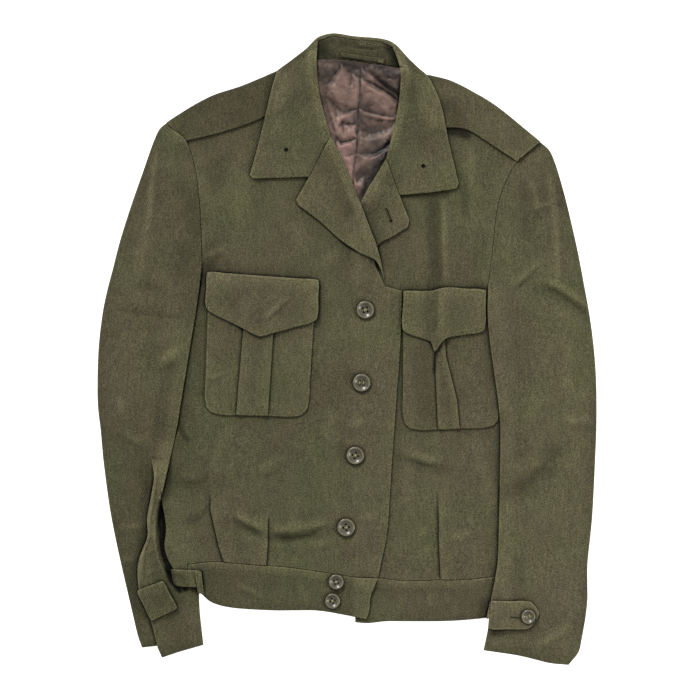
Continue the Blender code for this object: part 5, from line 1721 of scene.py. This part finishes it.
class JACKET_OT_stitching(bpy.types.Operator):
    """Sews the seams, buttonholes and eyelets that show"""
    bl_idname = "jacket.stitching"
    bl_label = "Stitching"

    def execute(self, context):
        looks = context.scene.jacket_colours
        tones = {"wool": thread("seam thread", looks.thread_wool),
                 "stand": thread("collar thread", looks.thread_stand),
                 "hole": thread("eyelet shade", looks.hole)}
        for row in SEAM_LINES:
            path = on_cloth(row.sheet, along(np.array(row.path, float), LINE_STEP))
            self.join(stitch_piece(row.name, path, row.pitch, row.length, row.thickness, tones[row.tone],
                                   row.turn))
        for row in EYELETS:
            angles = np.linspace(0, 2 * math.pi, EYELET_POINTS, endpoint=False)
            ring = [(row.x + row.radius * np.cos(a), row.y + row.radius * np.sin(a)) for a in angles]
            self.join(stitch_piece(row.name + "_ring", on_cloth(row.sheet, ring), *EYELET_STITCH,
                                   tones["wool"], math.pi / 2, closed=True))
            # A dark disc of painted shade stands for the eyelet's inside.
            middle = on_cloth(row.sheet, [(row.x, row.y)], EYELET_RISE)[0]
            section = [(0, -1), (row.radius, -1), (row.radius, 0), (0, 0)]
            hole = turned_shape(row.name, [(r * MM, (middle[2] + z) * MM) for r, z in section], EYELET_SIDES,
                                (middle[0] * MM, middle[1] * MM))
            hole.data.materials.append(tones["hole"])
            self.join(hole)
        for row in TOPSTITCHED:
            self.join(self.topstitch(row, thread("topstitch thread", looks.thread_top)))
        return {"FINISHED"}

    def topstitch(self, row, material):
        """A row of stitches inside a sheet's edge, wherever nothing lies over it."""
        cloth = laid(row.sheet)
        path = cloth.outline + inwards_of(cloth.outline) * row.inset
        shown = (off_outline(path, cloth.outline) > TOPSTITCH_CLEAR * row.inset) & inside(path, cloth.outline)
        shown &= sampled(cloth.top, path) > sampled(surroundings(0), path) - GAP
        return stitch_piece(row.sheet + "_topstitch", on_cloth(row.sheet, path, TOPSTITCH_RISE), *TOPSTITCH,
                            material, closed=True, shown=shown)

    def join(self, thing):
        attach(thing, ROOT)


# ---- Stage ----

VIEW_CENTRE = (3.3, -1.1)   # what the middle of the picture shows, mm
CLOTH_HEIGHT = 0.006  # m: the view's width is measured at this height
SENSOR = 36.0         # mm
FLOOR_REACH = 4.0     # m, from the middle to each side
SUN_SPREAD = math.radians(14)
WINDOW_PLACE = (-0.75, 1.7, 1.15)
CARD_SIZE = 0.5       # m
CARD_PLACE = (1.5, -0.5, 0.9)


class JACKET_OT_stage(bpy.types.Operator):
    """Sets the paper floor, the lights and the camera straight above"""
    bl_idname = "jacket.stage"
    bl_label = "Floor, lights and camera"

    def execute(self, context):
        studio = context.scene.jacket_studio
        self.lay_floor(studio)
        self.hang_light("window", "SUN", studio.key_power, WINDOW_PLACE).angle = SUN_SPREAD
        self.hang_light("side_card", "AREA", studio.card_power, CARD_PLACE).size = CARD_SIZE
        world = bpy.data.worlds.new("surround")
        context.scene.world = world
        world.use_nodes = True
        fill(world.node_tree, world.node_tree.nodes["Background"],
             {"Color": (1, 1, 1, 1), "Strength": studio.surround})
        camera = placed("camera", bpy.data.cameras.new("camera"))
        camera.location = (VIEW_CENTRE[0] * MM, VIEW_CENTRE[1] * MM, studio.camera_height)
        camera.data.sensor_width = SENSOR
        camera.data.lens = SENSOR * (studio.camera_height - CLOTH_HEIGHT) / studio.view_width
        context.scene.camera = camera
        context.scene.view_settings.view_transform = "Standard"
        return {"FINISHED"}

    def lay_floor(self, studio):
        corners = [(x * FLOOR_REACH, y * FLOOR_REACH, 0) for x, y in ((-1, -1), (1, -1), (1, 1), (-1, 1))]
        floor = placed("floor", from_faces("floor", corners, [(0, 1, 2, 3)]))
        material, tree, shader, where = new_material("white paper")
        grain = add_node(tree, "ShaderNodeTexNoise", {"Vector": where, "Scale": per_metre(3)})
        light = [(grain.outputs["Fac"], 0.3, 0.7, 0.99, 1.0)]
        tone = add_node(tree, "ShaderNodeRGB")
        tone.outputs["Color"].default_value = tuple(studio.floor)
        # Lit from below as on a light table, so that the cut-out's white ground holds no shadow.
        fill(tree, shader, {"Base Color": lit_by(tree, tone.outputs["Color"], light), "Roughness": 0.9,
                            "Emission Color": (1, 1, 1, 1), "Emission Strength": 0.9})
        floor.data.materials.append(material)

    def hang_light(self, name, kind, power, place):
        """A lamp that points at the jacket."""
        lamp = bpy.data.lights.new(name, kind)
        lamp.energy = power
        holder = placed(name, lamp)
        holder.location = place
        holder.rotation_euler = (-Vector(place)).to_track_quat("-Z", "Y").to_euler()
        return lamp


# ---- Panel and registration ----

STEPS = (JACKET_OT_back, JACKET_OT_neck, JACKET_OT_fronts, JACKET_OT_pockets, JACKET_OT_shoulders,
         JACKET_OT_collar, JACKET_OT_sleeves, JACKET_OT_tabs, JACKET_OT_buttons, JACKET_OT_stitching,
         JACKET_OT_stage)
GROUPS = (("jacket_cloth", JacketCloth), ("jacket_colours", JacketColours), ("jacket_buttons", JacketButtons),
          ("jacket_studio", JacketStudio))


class JACKET_PT_panel(bpy.types.Panel):
    """The sizes, the colours and the steps"""
    bl_label = "Jacket"
    bl_space_type = "VIEW_3D"
    bl_region_type = "UI"
    bl_category = "Jacket"

    def draw(self, context):
        for name, group in GROUPS:
            box = self.layout.box()
            box.label(text=name.replace("_", " "))
            for key in group.__annotations__:
                box.prop(getattr(context.scene, name), key)
        for step in STEPS:
            self.layout.operator(step.bl_idname)


def register():
    for name, group in GROUPS:
        bpy.utils.register_class(group)
        setattr(bpy.types.Scene, name, PointerProperty(type=group))
    for cls in (*STEPS, JACKET_PT_panel):
        bpy.utils.register_class(cls)


def unregister():
    for cls in reversed((*STEPS, JACKET_PT_panel)):
        bpy.utils.unregister_class(cls)
    for name, group in reversed(GROUPS):
        delattr(bpy.types.Scene, name)
        bpy.utils.unregister_class(group)


def main():
    register()
    for step in STEPS:
        family, name = step.bl_idname.split(".")
        getattr(getattr(bpy.ops, family), name)()


if __name__ == "__main__":
    main()
